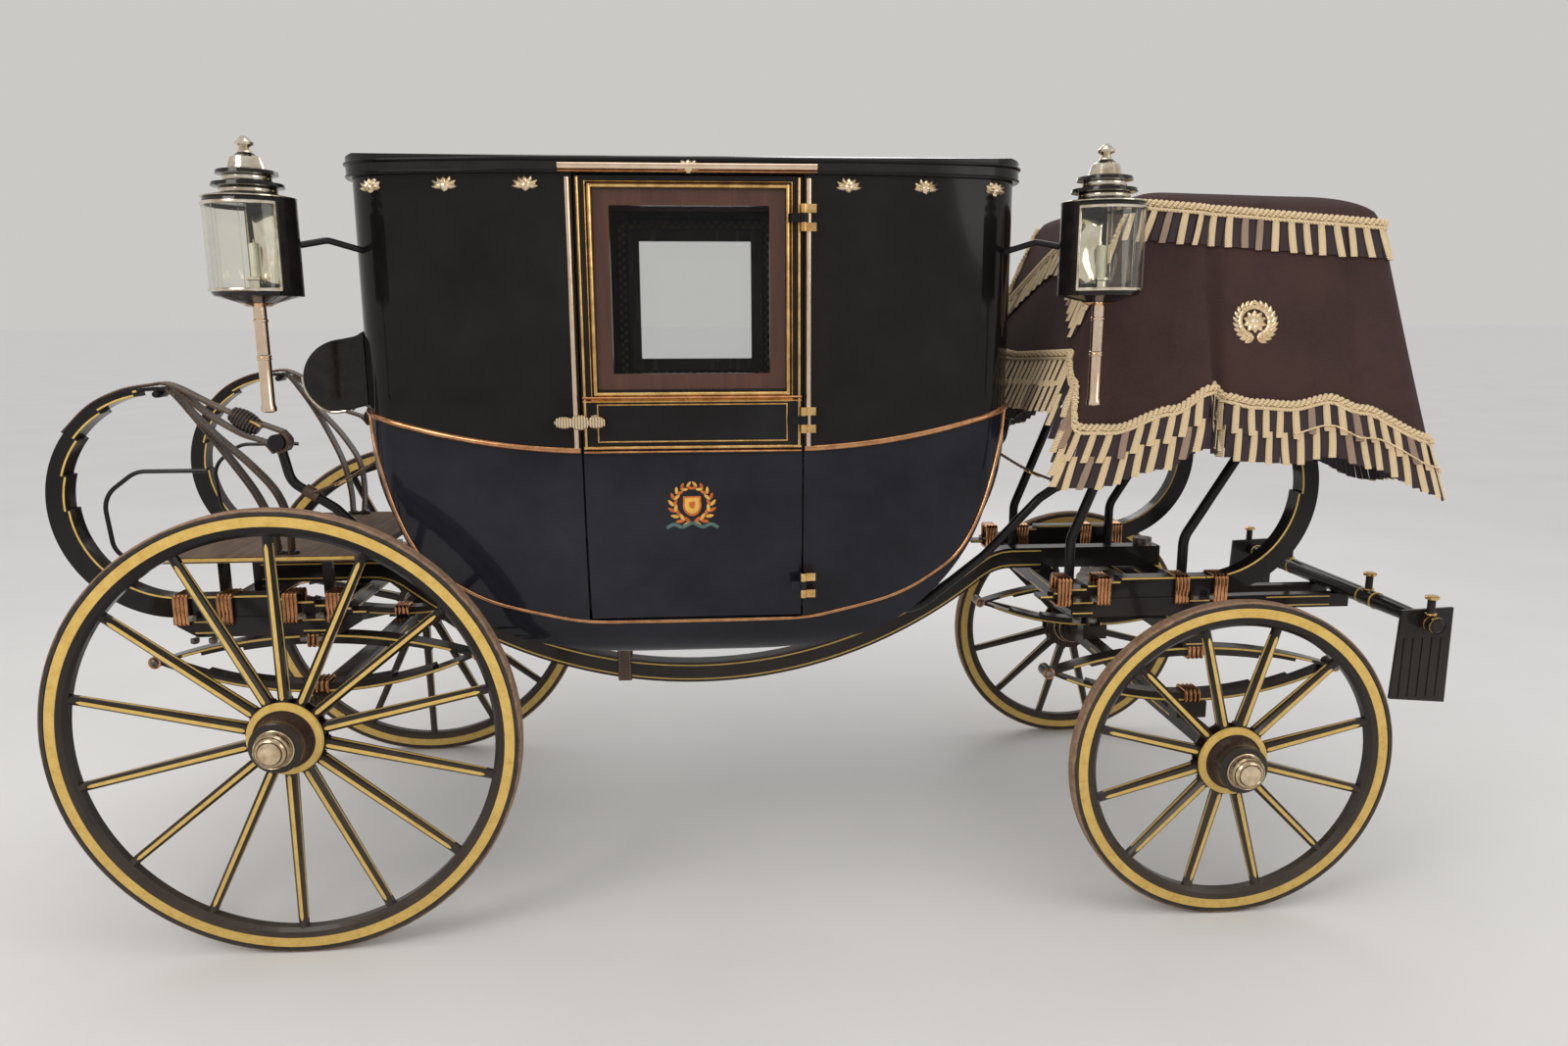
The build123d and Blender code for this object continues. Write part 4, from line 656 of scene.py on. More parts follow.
def body_mouldings():
    shape = Shape()
    quarter = [0.2895 + index * 0.02 for index in range(29)]
    low = smooth_line([Vector((x, 0, z)) for x, z in LOWER_MOULDING], 5)
    bottom = [(-point.x, point.z) for point in reversed(low)] + [(point.x, point.z) for point in low[1:]]
    for side in SIDES:
        for end in ENDS:
            belt = [(end * x, belt_height(x)) for x in quarter]
            side_moulding(shape, belt, side, bead_profile(*BELT_BEAD))
        side_moulding(shape, bottom, side, bead_profile(0.010, 0.006))
        for x in (-0.299, 0.299):
            pillar = [(x, BELT_DOOR + 0.006), (x, 1.6), (x, 2.000)]
            side_moulding(shape, pillar, side, bead_profile(0.015, 0.009), 2)
        # The drip moulding over the door, in two steps
        for width, height, z, kind in ((0.019, 0.011, 2.0255, 2), (0.005, 0.005, 2.0130, 0)):
            first, last = (at(x, side * DRIP_Y, z) for x in (-0.318, 0.318))
            shape.bar(first, last, bead_profile(width, height), (0, side, 0), kind)
    piece("body_mouldings", shape, "carriage", [copper, brass, tube_metal])


def end_mouldings():
    """The belt carried round the back and front walls, and the beads at the cornice."""
    shape = Shape()
    around = plan_points()
    points, normals = [], []
    for x, y, nx, ny in around:
        hit = nx > 0.75 and cast(body_tree, at(x + nx * 0.3, y + ny * 0.3, belt_height(x)), (-nx, -ny, 0))
        if hit:
            points.append(hit)
            normals.append(Vector((nx, ny, 0)))
    shape.sweep(points, bead_profile(*BELT_BEAD), normals)
    shape.sweep([other_end(point) for point in points], bead_profile(*BELT_BEAD),
                [Vector((-normal.x, normal.y, 0)) for normal in normals])
    out = [Vector((nx, ny, 0)) for _, _, nx, ny in around]
    # The upper bead follows the roof's crown, a little lower at the sides
    for z, size, droop in ((2.0150, 0.005, 0), (2.052, 0.010, 0.010)):
        ring = [at(x + nx * 0.0145, y + ny * 0.0145, z - droop * abs(y + ny * 0.0145) / 0.6)
                for x, y, nx, ny in around]
        shape.sweep(ring, bead_profile(size, size * 0.6), out, closed=True, kind=2)
    piece("end_mouldings", shape, "carriage", [copper, brass, coach_black])


def ornament():
    """A small palmette: a fan of seven lobes on a round boss with a drop below it, domed."""
    shape = Shape()
    for angle, reach in ((0, 0.026), (30, 0.026), (-30, 0.026), (60, 0.028), (-60, 0.028),
                         (92, 0.026), (-92, 0.026), (180, 0.014)):
        turn = math.radians(angle)
        direction = Vector((math.sin(turn), 0, math.cos(turn)))
        across = Vector((direction.z, 0, -direction.x))
        rings = []
        for index in range(7):
            t = index / 6
            half = 0.0080 * math.sin(math.pi * (0.12 + 0.84 * t)) ** 0.7
            height = 0.0070 * math.sin(math.pi * (0.15 + 0.7 * t))
            rings.append([direction * (reach * t) + across * half * a + Vector((0, height * b, 0))
                          for a, b in ((1, -0.2), (0.7, 0.6), (0, 1), (-0.7, 0.6), (-1, -0.2))])
        shape.rings(rings)
    shape.lathe([(0.009, -0.001), (0.009, 0.004), (0.006, 0.0075), (0, 0.0085)], Vector(), (0, 1, 0), 20)
    return shape


def body_ornaments():
    shape = Shape()
    motif = ornament()
    for side in SIDES:
        for x in (-0.790, -0.600, -0.400, 0.400, 0.600, 0.790):
            point, normal = on_side(x, 1.980, side)
            out = Vector((normal.x, normal.y, 0)).normalized()
            turn = Matrix((out.cross(UP), out, UP)).transposed().to_4x4()
            shape.place_copy(motif, Matrix.Translation(point) @ turn @ Matrix.Diagonal((1.2, 1, 0.95, 1)))
        over = at(0, side * DRIP_Y, 2.021)
        shape.place_copy(motif, Matrix.Translation(over) @ Matrix.Diagonal((side * 1.35, side, 0.9, 1)))
    piece("body_ornaments", shape, "carriage", [gilt])


def door_trim(side):
    """Brass round the window, sill, mid panel and edges of one door."""
    shape = Shape()
    y, facing = side * BODY_HALF_WIDTH, (0, side, 0)
    for half, low, high, width, height in (
            (WINDOW_HALF + 0.006, WINDOW_LOW - 0.006, WINDOW_HIGH + 0.006, 0.012, 0.009),
            (WINDOW_HALF + 0.0165, WINDOW_LOW - 0.020, WINDOW_HIGH + 0.0165, 0.004, 0.004),
            (0.243, BELT_DOOR + 0.022, 1.442, 0.005, 0.004)):
        for (x0, z0), (x1, z1) in rectangle(half, low, high):
            # Each edge runs on by half its width, so that the corners are filled
            dx, dz = (width / 4 * ((b > a) - (b < a)) for a, b in ((x0, x1), (z0, z1)))
            shape.bar(at(x0 - dx, y, z0 - dz), at(x1 + dx, y, z1 + dz), bead_profile(width, height), facing)
    for x in (-0.2745, 0.2745):
        shape.bar(at(x, y, BELT_DOOR + 0.004), at(x, y, 2.001), bead_profile(0.009, 0.007), facing)
    for z, width, height, kind in (
            (BELT_DOOR - 0.0045, 0.008, 0.009, 1), (BELT_DOOR + 0.0065, 0.010, 0.007, 0),
            (1.4505, 0.007, 0.006, 0), (1.4600, 0.009, 0.0105, 1)):
        shape.bar(at(-0.280, y, z), at(0.280, y, z), bead_profile(width, height), facing, kind)
    name = SIDE_NAMES[side]
    piece(f"{name}_door_mouldings", shape, f"{name}_door", [brass, copper])


def leaf(length, width, thick):
    """A small pointed leaf lying along Z with its face towards -Y."""
    rings = []
    for index in range(8):
        t = index / 7
        half = width / 2 * math.sin(math.pi * (0.06 + 0.90 * t)) ** 0.8
        rise = thick * math.sin(math.pi * (0.1 + 0.8 * t))
        rings.append([Vector((half * a, -rise * b, length * t)) for a, b in
                      ((1, 0), (0.5, 0.8), (0.08, 1.0), (0, 0.8), (-0.08, 1.0), (-0.5, 0.8), (-1, 0))])
    shape = Shape()
    shape.rings(rings)
    return shape


def wreath(radius, leaf_length, leaf_width, thick, pairs):
    """Two sprays of leaves that rise from a tie and nearly meet above."""
    shape = Shape()
    for hand in ENDS:
        for index in range(pairs):
            angle = math.radians(-84 + 158 * index / (pairs - 1))
            size = 1.0 - 0.25 * index / pairs
            place = Matrix.Translation((hand * math.cos(angle) * radius, 0, math.sin(angle) * radius))
            for inward in ENDS:
                lean = Matrix.Rotation(-hand * (angle + inward * math.radians(34)), 4, "Y")
                copy = leaf(leaf_length * size, leaf_width * size, thick)
                shape.place_copy(copy, place @ lean, (index + (inward > 0)) % 2)
    return shape


def door_wreath(side):
    """A generic painted device: a wreath round a plain shield, tied below."""
    shape = wreath(0.040, 0.019, 0.008, 0.0006, 9)
    shield = []
    for index in range(24):
        angle = 2 * math.pi * index / 24
        x, z = 0.020 * math.sin(angle), 0.024 * math.cos(angle)
        if z > 0.012:
            z, x = 0.020, max(-0.019, min(0.019, x * 1.25))
        shield.append((x, z - 0.002))
    for scale, rise, kind in ((1.0, 0.0004, 1), (0.8, 0.0007, 0), (0.34, 0.0010, 1)):
        shape.rings([[Vector((x * scale, y, z * scale)) for x, z in shield]
                     for y in (-0.0002, -rise)], kind)
    for hand in ENDS:
        places = ((0, -0.040), (hand * 0.022, -0.050), (hand * 0.040, -0.044), (hand * 0.056, -0.052))
        ribbon = smooth_line([Vector((x, -0.0003, z)) for x, z in places], 5)
        shape.sweep(ribbon, bar_profile(0.0075, 0.0006, 0.0002), (0, -1, 0), kind=2)
    shape.vertices = [on_side(vertex.x * 1.22 - 0.007, 1.180 + vertex.z * 1.22, side, 0.0003 - vertex.y)[0]
                      for vertex in shape.vertices]
    name = SIDE_NAMES[side]
    piece(f"{name}_door_wreath", shape, f"{name}_door", [crest_gold, crest_red, crest_green])


# The sword case's back: how far it stands out from the wall, and its height
SWORD_CASE_BACK = ((0.000, 1.630), (0.020, 1.618), (0.050, 1.611), (0.090, 1.603), (0.126, 1.583),
                   (0.153, 1.550), (0.165, 1.510), (0.158, 1.470), (0.135, 1.438), (0.104, 1.418),
                   (0.060, 1.420), (0.000, 1.434))


def sword_case_bead():
    """The sword case with its S-curved back, and the bright bead under each of its ends."""
    profile = smooth_line([at(-BODY_HALF_LENGTH - 0.0003 - depth, 0, z) for depth, z in SWORD_CASE_BACK], 5)
    middle = sum(profile, Vector()) / len(profile)
    wall = profile[0].x
    shape = Shape()
    rings = []
    eased = [(0.4400, 0.955), (0.4385, 0.975), (0.4340, 0.993), (0.4280, 1.0)]
    for y, size in [(-y, size) for y, size in eased] + eased[::-1]:
        ring = []
        for point in profile:
            moved = middle.lerp(point, size)
            ring.append(Vector((max(moved.x, wall) if point.x >= wall - 0.001 else moved.x, y, moved.z)))
        rings.append(ring)
    shape.rings(rings)
    case = piece("sword_case_shell", shape, "carriage", [lamp_black], 30)
    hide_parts("sword_case")
    bead = Shape()
    lower = [point for point in profile if point.z < 1.515 and point.x < wall - 0.050]
    for side in SIDES:
        bead.sweep([Vector((point.x, side * 0.4330, point.z)) for point in lower], round_profile(0.0048, 8))
    piece("sword_case_bead", bead, "carriage", [silver])


# Lamps

LAMP_X, LAMP_Y = 1.025, 0.680
LAMP_LOW, LAMP_HIGH, LAMP_RIM = 1.712, 1.935, 0.1015
CANDLE_TUBE = ((0.0150, 1.6925), (0.0150, 1.6600), (0.0172, 1.6575), (0.0172, 1.6535), (0.0150, 1.6510),
               (0.0150, 1.5750), (0.0170, 1.5735), (0.0170, 1.5700), (0.0150, 1.5685), (0.0170, 1.5668),
               (0.0170, 1.5633), (0.0150, 1.5618), (0.0150, 1.4560), (0.0176, 1.4480), (0.0176, 1.4395),
               (0.0100, 1.4365), (0, 1.4360))
# The turned parts of a lamp: radii and heights, the count of sides, and the material's number
LAMP_TURNINGS = (
    (((0.099, 1.9335), (0.1035, 1.9350), (0.1035, 1.9375), (0.099, 1.9390)), 56, 0),
    (((0.0622, 1.9440), (0.0634, 1.9460), (0.0634, 1.9570), (0.0622, 1.9590)), 56, 0),
    (((0.0522, 1.9735), (0.0532, 1.9750), (0.0532, 1.9860), (0.0522, 1.9878)), 56, 0),
    (((0.0408, 2.0030), (0.0332, 2.0275), (0.020, 2.0345), (0.0168, 2.0385), (0.0108, 2.0505),
      (0.0205, 2.0560), (0.0212, 2.0612), (0.0128, 2.0695), (0.006, 2.0755), (0, 2.0765)), 40, 0),
    (CANDLE_TUBE, 48, 2),
    (((0.0405, 1.6955), (0.0300, 1.6900), (0.0155, 1.6860)), 40, 2),
)


def lamp_trim():
    """Plated rims, necks, finial and candle tube, with the bevels, reflector and candle inside."""
    trims, glows = Shape(), Shape()
    for end in ENDS:
        for side in SIDES:
            base = at(end * LAMP_X, side * LAMP_Y, 0)
            facing = math.atan2(side * math.sin(math.radians(40)), end * math.cos(math.radians(40)))
            ahead = Vector((math.cos(facing), math.sin(facing), 0))
            sideways = Vector((-math.sin(facing), math.cos(facing), 0))

            def on_rim(degrees, z):
                turn = facing + math.radians(degrees)
                return base + Vector((LAMP_RIM * math.cos(turn), LAMP_RIM * math.sin(turn), z))

            for z in (LAMP_LOW + 0.014, LAMP_HIGH - 0.014):
                trims.sweep([on_rim(-102 + 204 * i / 32, z) for i in range(33)], round_profile(0.0042, 8))
            for angle in (-102, -58, -20, 20, 58, 102):
                size, kind = (0.0042, 0) if abs(angle) > 100 else (0.0013, 1)
                ends = [on_rim(angle, LAMP_LOW + 0.014), on_rim(angle, LAMP_HIGH - 0.014)]
                trims.sweep(ends, round_profile(size, 8), kind=kind)
            for profile, sides, kind in LAMP_TURNINGS:
                trims.lathe(profile, base, sides=sides, kind=kind, caps=profile is CANDLE_TUBE)
            bowl = []
            for row in range(9):
                z = LAMP_LOW + 0.030 + (LAMP_HIGH - LAMP_LOW - 0.060) * row / 8
                depth = 0.052 * math.sin(math.pi * (0.08 + 0.84 * row / 8)) ** 0.5
                turns = [math.radians(-85 + 170 * i / 14) for i in range(15)]
                bowl.append([base + UP * z - ahead * (0.022 + depth * math.cos(a))
                             + sideways * (0.072 * math.sin(a)) for a in turns])
            glows.rings(bowl, 0, open_ring=True)
            glows.lathe([(0.018, 1.7240), (0.018, 1.7480), (0.0235, 1.7500), (0.0235, 1.7560),
                         (0.0125, 1.7585)], base, sides=28)
            glows.lathe([(0.0115, 1.7570), (0.0115, 1.8320), (0.0095, 1.8350), (0.0015, 1.8358),
                         (0.0012, 1.8440)], base, sides=24, kind=1)
    piece("lamp_rims", trims, "carriage", [silver, lamp_glass, tube_metal])
    inside = piece("lamp_insides", glows, "carriage", [mirror_silver, candle_wax()])
    inside.modifiers.new("sheet", "SOLIDIFY").thickness = 0.0012


# Wheels

WHEEL_Y, DISH = 0.679, 0.014
FELLOE_OUTER, FELLOE_DEPTH = 0.0142, 0.054
SPOKE_LINE = ((-1, -0.0003), (-1, 0.0004), (1, 0.0004), (1, -0.0003))


def wheel_lining(end, side):
    """Ochre on the felloe's two faces, the nave's ring and the front and sides of each spoke."""
    centre_x, radius, count, phase = WHEELS[end]
    centre = at(centre_x, side * WHEEL_Y, radius)
    out = Vector((0, side, 0))
    shape = Shape()
    rim = radius - FELLOE_OUTER
    inner, outer = rim - 0.0285, rim - 0.0025
    for face, ease in ((1, 0.0004), (-1, 0.0005)):
        section = ((inner, 0.0197), (inner + ease, 0.0206), (outer - ease, 0.0206), (outer, 0.0197))
        turns = [2 * math.pi * index / 120 for index in range(120)]
        shape.rings([[centre + out * (face * b) + Vector((a * math.cos(t), 0, a * math.sin(t)))
                      for a, b in section] for t in turns], closed=True)
    flange = 0.0202 - DISH
    shape.lathe([(0.0950, flange + 0.0002), (0.0978, flange + 0.0026), (0.0958, flange + 0.0086),
                 (0.0795, flange + 0.0118), (0.0785, flange + 0.0108)], centre, out, 72, 0, caps=False)
    root, tip, spoke_end = 0.102, rim - FELLOE_DEPTH - 0.020, rim - FELLOE_DEPTH + 0.012

    def share_of(distance):
        return (distance - 0.100) / (spoke_end - 0.100)

    def half(distance, big, small):
        return (big + (small - big) * share_of(distance)) / 2

    for index in range(count):
        angle = math.radians(phase + 360 / count * index)
        along = Vector((math.cos(angle), 0, math.sin(angle)))
        across = Vector((-math.sin(angle), 0, math.cos(angle)))

        def place(distance, sideways, forward):
            middle = -DISH + DISH * share_of(distance)
            return centre + along * distance + across * sideways + out * (middle + forward)

        rings = []
        for distance in (root, root + 0.006, (root + tip) / 2, tip - 0.010, tip):
            wide = half(distance, 0.0102, 0.0086) * (0.35 if distance in (tip, root) else 1.0)
            face = half(distance, 0.040, 0.026)
            rings.append([place(distance, s * wide, face + lift) for s, lift in SPOKE_LINE])
        shape.rings(rings)
        for hand in ENDS:
            rings = []
            for distance in (root + 0.004, (root + tip) / 2, tip):
                wall, deep = half(distance, 0.026, 0.022), half(distance, 0.040, 0.026)
                rings.append([place(distance, hand * (wall + lift), deep * -0.15 + s * 0.0034)
                              for s, lift in SPOKE_LINE])
            shape.rings(rings)
    wheel = f"{end}_{SIDE_NAMES[side]}_wheel"
    piece(f"{wheel}_lining", shape, wheel, [ochre])


def hub_cap(end, side):
    """Brass cap with its stepped rings over the black collar."""
    centre_x, radius, _, _ = WHEELS[end]
    centre = at(centre_x, side * WHEEL_Y, radius)
    shape = Shape()
    shape.lathe([(0.0400, 0.0755), (0.0500, 0.0755), (0.0500, 0.0800), (0.0478, 0.0812), (0.0478, 0.0880),
                 (0.0452, 0.0890), (0.0452, 0.0905), (0.0474, 0.0915), (0.0470, 0.0940), (0.0450, 0.0990),
                 (0.0420, 0.1030), (0.0405, 0.1018), (0.0392, 0.1020), (0.0382, 0.1052), (0.0320, 0.1092),
                 (0.0305, 0.1076), (0.0292, 0.1078), (0.0282, 0.1106), (0.0180, 0.1132), (0.0080, 0.1142),
                 (0, 0.1143)], centre, (0, side, 0), 64)
    shape.lathe([(0.0610, 0.0500), (0.0668, 0.0520), (0.0668, 0.0725), (0.0615, 0.0768), (0.0490, 0.0768)],
                centre, (0, side, 0), 64, 1, caps=False)
    for y, size in ((-0.0845, 0.0560), (-0.0500, 0.0665)):
        shape.lathe([(size, y), (size + 0.0016, y + 0.001), (size + 0.0016, y + 0.005), (size, y + 0.006)],
                    centre, (0, side, 0), 48, 0, caps=False)
    name = f"{end}_{SIDE_NAMES[side]}"
    piece(f"{name}_hub_cap", shape, f"{name}_wheel", [cap_metal, wheel_black])


# Under-carriage linings and fittings

C_RADIUS, LEAF_THICK = 0.315, 0.010
C_MIDDLES = {-1: -1.415, 1: 1.490}
# Each leaf of a C-spring from the outermost in: the degrees of its arc and the length of its flat tail
C_LEAVES = ((184, 0.500), (170, 0.460), (150, 0.410), (130, 0.360), (108, 0.310), (88, 0.260))
BED_PLACES = (-1.060, -1.350, 1.120, 1.470)


def spring_centre_z():
    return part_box("hind_c_springs")[0].z + C_RADIUS


def c_spring_lining():
    """A line along each leaf's bare inner edge, so that it steps with the leaves' ends."""
    shape = Shape()
    centre_z = spring_centre_z()
    for end, middle in C_MIDDLES.items():
        for side in SIDES:
            for face in ENDS:
                y = side * SPRING_Y + face * LEAF_WIDTH / 2
                for index, (reach, tail) in enumerate(C_LEAVES):
                    after = C_LEAVES[index + 1] if index + 1 < len(C_LEAVES) else (0, 0)
                    radius = C_RADIUS - index * LEAF_THICK - 0.0066
                    last = min(reach, 172) - 1
                    if last > after[0]:
                        start, stop = -90 + end * (after[0] - 1), -90 + end * last
                        count = 2 + int((last - after[0]) / 5)
                        points = arc(at(middle, 0, centre_z), radius, start, stop, count, y)
                        shape.sweep(points, painted_line(0.0052), (0, face, 0))
                    z = centre_z - radius
                    flat = [at(middle - end * back, y, z) for back in (after[1], tail - 0.004)]
                    shape.sweep(flat, painted_line(0.0052), (0, face, 0))
    piece("c_spring_lining", shape, "carriage", [ochre])


def elliptic_lining(node, body, name):
    """Lines along the leaves of a pair of elliptic springs, eye bolts and the copper middle clips."""
    low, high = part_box(node)
    middle_x = (low.x + high.x) / 2
    half, down, up = 0.440, 0.098, 0.072
    eye_z = low.z + down
    shape = Shape()
    for side in SIDES:
        for face in ENDS:
            y, facing = side * SPRING_Y + face * LEAF_WIDTH / 2, (0, face, 0)
            for sign, top in ((1, up), (-1, down)):
                radius = (half ** 2 + top ** 2) / (2 * top)
                centre = Vector((middle_x, 0, eye_z + sign * (top - radius)))
                spread = math.degrees(math.asin(half / radius)) - 3.2
                start, stop = sign * (90 - spread), sign * (90 + spread)
                shape.sweep(arc(centre, radius - 0.0048, start, stop, 25, y), painted_line(0.0058), facing)
            for end in ENDS:
                eye = Vector((middle_x + end * half, y, eye_z))
                shape.lathe([(0.0115, -0.001), (0.0115, 0.006), (0.0075, 0.0085), (0, 0.0095)],
                            eye, facing, 6, 2)
                shape.lathe([(0.0172, -0.0005), (0.0172, 0.0022), (0.0120, 0.0030)],
                            eye, facing, 28, 1, caps=False)
        for z in (eye_z + up - 0.016, eye_z - down + 0.016):
            band_clip(shape, Vector((middle_x, side * SPRING_Y, z)), LEAF_WIDTH + 0.008, 0.034, 0.013, 1)
    piece(name, shape, body, [ochre, copper, steel])


def band_clip(shape, middle, width, height, pitch, kind):
    """Four round bands side by side about a spring, each a rounded loop square to the spring."""
    for index in range(4):
        centre = middle + Vector(((index - 1.5) * pitch, 0, 0))
        loop = rounded_loop(centre, Vector((0, 1, 0)), UP, width / 2, height / 2, 0.007)
        shape.sweep(loop, round_profile(0.0054, 8), closed=True, kind=kind)


def spring_clips():
    """Copper-coloured bands that hold the C-springs' tails to the beds, with nuts above and beneath."""
    shape = Shape()
    foot = spring_centre_z() - C_RADIUS
    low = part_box("hind_bed")[0].z
    nuts = ([(0.012, foot - 0.002), (0.012, foot + 0.009), (0.009, foot + 0.012), (0, foot + 0.014)],
            [(0.012, low + 0.002), (0.012, low - 0.009), (0.008, low - 0.012), (0, low - 0.013)])
    for x in BED_PLACES:
        for side in SIDES:
            y = side * SPRING_Y
            for offset in (-0.058, 0.058):
                band_clip(shape, at(x + offset, y, foot + 0.022), 0.072, 0.080, 0.0105, 0)
            for offset in (-0.024, 0.024):
                for profile in nuts:
                    shape.lathe(profile, at(x + offset, y + side * 0.048, 0), sides=6, kind=1)
    piece("spring_clips", shape, "carriage", [copper, steel])


def perch_lining():
    """Two lines along each side of the perch, following its curve."""
    tree = tree_of(["perch"])
    shape = Shape()
    places = [-1.36 + 2.48 * index / 75 for index in range(76)]
    lows, highs = [], []
    for x in places:
        under, over = cast(tree, at(x, 0, -0.2), UP), cast(tree, at(x, 0, 1.5), -UP)
        lows.append(under.z if under and over else lows[-1])
        highs.append(over.z if under and over else highs[-1])
    for side in SIDES:
        for heights, shift in ((lows, 0.010), (highs, -0.010)):
            points = [at(x, side * 0.028, z + shift) for x, z in zip(places, heights)]
            shape.sweep(points, painted_line(0.0045), (0, side, 0))
    piece("perch_lining", shape, "carriage", [ochre])


def along_line(x0, x1, y, z, side, width=0.004):
    """A line along the carriage on a bar's side: its ends, the direction it faces and its width."""
    return at(x0, y, z), at(x1, y, z), (0, side, 0), width


def cross_line(x, y0, y1, z, face, width=0.004):
    """A line across the carriage on a bar's front or back."""
    return at(x, y0, z), at(x, y1, z), (face, 0, 0), width


def bar_lines(name, body, lines):
    shape = Shape()
    for first, last, facing, width in lines:
        shape.bar(first, last, painted_line(width), facing)
    piece(name, shape, body, [ochre])


def carriage_lines():
    low, high = (corner.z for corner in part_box("hind_bed"))
    lines = [along_line(-1.500, -0.965, side * 0.350, 0.999, side, 0.009) for side in SIDES]
    for x in BED_PLACES:
        for side in SIDES:
            for z in (low + 0.012, high - 0.012):
                lines.append(along_line(x - 0.030, x + 0.030, side * 0.430, z, side))
        for face in ENDS:
            for z in (low + 0.012, high - 0.010):
                for y0, y1 in ((-0.366, -0.034), (0.034, 0.366)):
                    lines.append(cross_line(x + face * 0.035, y0, y1, z, face))
    for face in ENDS:
        edge = WHEELS["rear"][0] + face * 0.025
        lines.append(cross_line(edge, -0.34, 0.34, 0.600, face, 0.006))
    bar_lines("carriage_lines", "carriage", lines)


def fore_lines():
    lines = []
    low, high = (corner.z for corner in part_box("fore_bed"))
    axle = WHEELS["front"][0]
    for side in SIDES:
        for z in (low + 0.010, high - 0.010):
            lines.append(along_line(1.438, 1.502, side * 0.430, z, side))
    for face in ENDS:
        for y0, y1 in ((-0.425, -0.165), (0.165, 0.425)):
            lines.append(cross_line(axle + face * 0.040, y0, y1, high - 0.012, face))
        lines.append(cross_line(axle + face * 0.025, -0.34, 0.34, 0.455, face, 0.006))
    z = sum(corner.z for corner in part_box("futchells")) / 2
    for side in SIDES:
        for rise in (-0.014, 0.014):
            lines.append(along_line(1.870, 2.088, side * 0.081, z + rise, side))
    bar_lines("fore_carriage_lines", "fore_carriage", lines)


def splinter_bands():
    shape = Shape()
    low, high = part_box("splinter_bar")
    centre = Vector(((low.x + high.x) / 2, 0, low.z + 0.026))
    for side in SIDES:
        for place, radius, kind in ((0.526, 0.0232, 0), (0.552, 0.0232, 0), (0.500, 0.0212, 1),
                                    (0.452, 0.0222, 1), (0.275, 0.0262, 1), (0.205, 0.0262, 1)):
            band = [(radius + rise, place + off) for rise, off in
                    ((0, -0.004), (0.0014, -0.002), (0.0014, 0.002), (0, 0.004))]
            shape.lathe(band, centre, (0, side, 0), 32, kind, caps=False)
        for y in (0.230, 0.520):
            head = centre + Vector((0, side * y, 0))
            shape.lathe([(0.0182, 0.0715), (0.0192, 0.0735), (0.0192, 0.0785), (0.0150, 0.0815),
                         (0, 0.0830)], head, sides=28)
            shape.lathe([(0.0168, 0.0250), (0.0168, 0.0300), (0.0115, 0.0310)], head, sides=28, caps=False)
    piece("splinter_bar_bands", shape, "fore_carriage", [brass, ochre])


# Leather

BRACE = (0.045, 0.0062)
STAYS = (((-1.402, 0.400, 1.4835), (-1.372, 0.398, 1.458), (-1.310, 0.390, 1.366), (-1.256, 0.372, 1.272),
          (-1.212, 0.350, 1.180), (-1.188, 0.330, 1.090), (-1.182, 0.318, 1.010)),
         ((-1.345, 0.398, 1.421), (-1.285, 0.390, 1.350), (-1.215, 0.372, 1.272), (-1.160, 0.350, 1.188),
          (-1.142, 0.330, 1.098), (-1.146, 0.318, 1.010)))


def strap(shape, points, width, thick, across=(0, 1, 0)):
    """A flat strap laid along points in an upright plane, its edges eased, with two rows of stitching."""
    path = smooth_line(points, 8)
    across = Vector(across)
    normals = []
    for index in range(len(path)):
        along = (path[min(index + 1, len(path) - 1)] - path[max(index - 1, 0)]).normalized()
        normals.append(across.cross(along).normalized())
    half, eased = width / 2, width / 2 - 0.002
    shape.sweep(path, [(half, 0), (eased, thick / 2), (-eased, thick / 2), (-half, 0), (-eased, -thick / 2),
                       (eased, -thick / 2)], normals)
    step, carried = 0.011, 0.0
    for first, last, normal in zip(path, path[1:], normals):
        run = (last - first).length
        stitch = (last - first).normalized() * 0.0032
        while carried < run:
            point = first.lerp(last, carried / run)
            for face in ENDS:
                for hand in ENDS:
                    middle = point + across * hand * (half - 0.006) + normal * face * (thick / 2 + 0.0004)
                    shape.sweep([middle - stitch, middle + stitch], round_profile(0.0010, 4), kind=1)
            carried += step
        carried -= run


def buckle(shape, middle, along, across, width, kind):
    """A rounded square buckle with its tongue, lying on its strap."""
    out = along.cross(across).normalized() * 0.6
    loop = rounded_loop(middle + out * 0.009, along, across, 0.017, width / 2 + 0.004, 0.006)
    shape.sweep(loop, round_profile(0.0034, 8), closed=True, kind=kind)
    tongue = [middle + along * reach + out * rise
              for reach, rise in ((-0.018, 0.009), (0, 0.011), (0.021, 0.0105))]
    shape.sweep(tongue, round_profile(0.0024, 8), kind=kind)


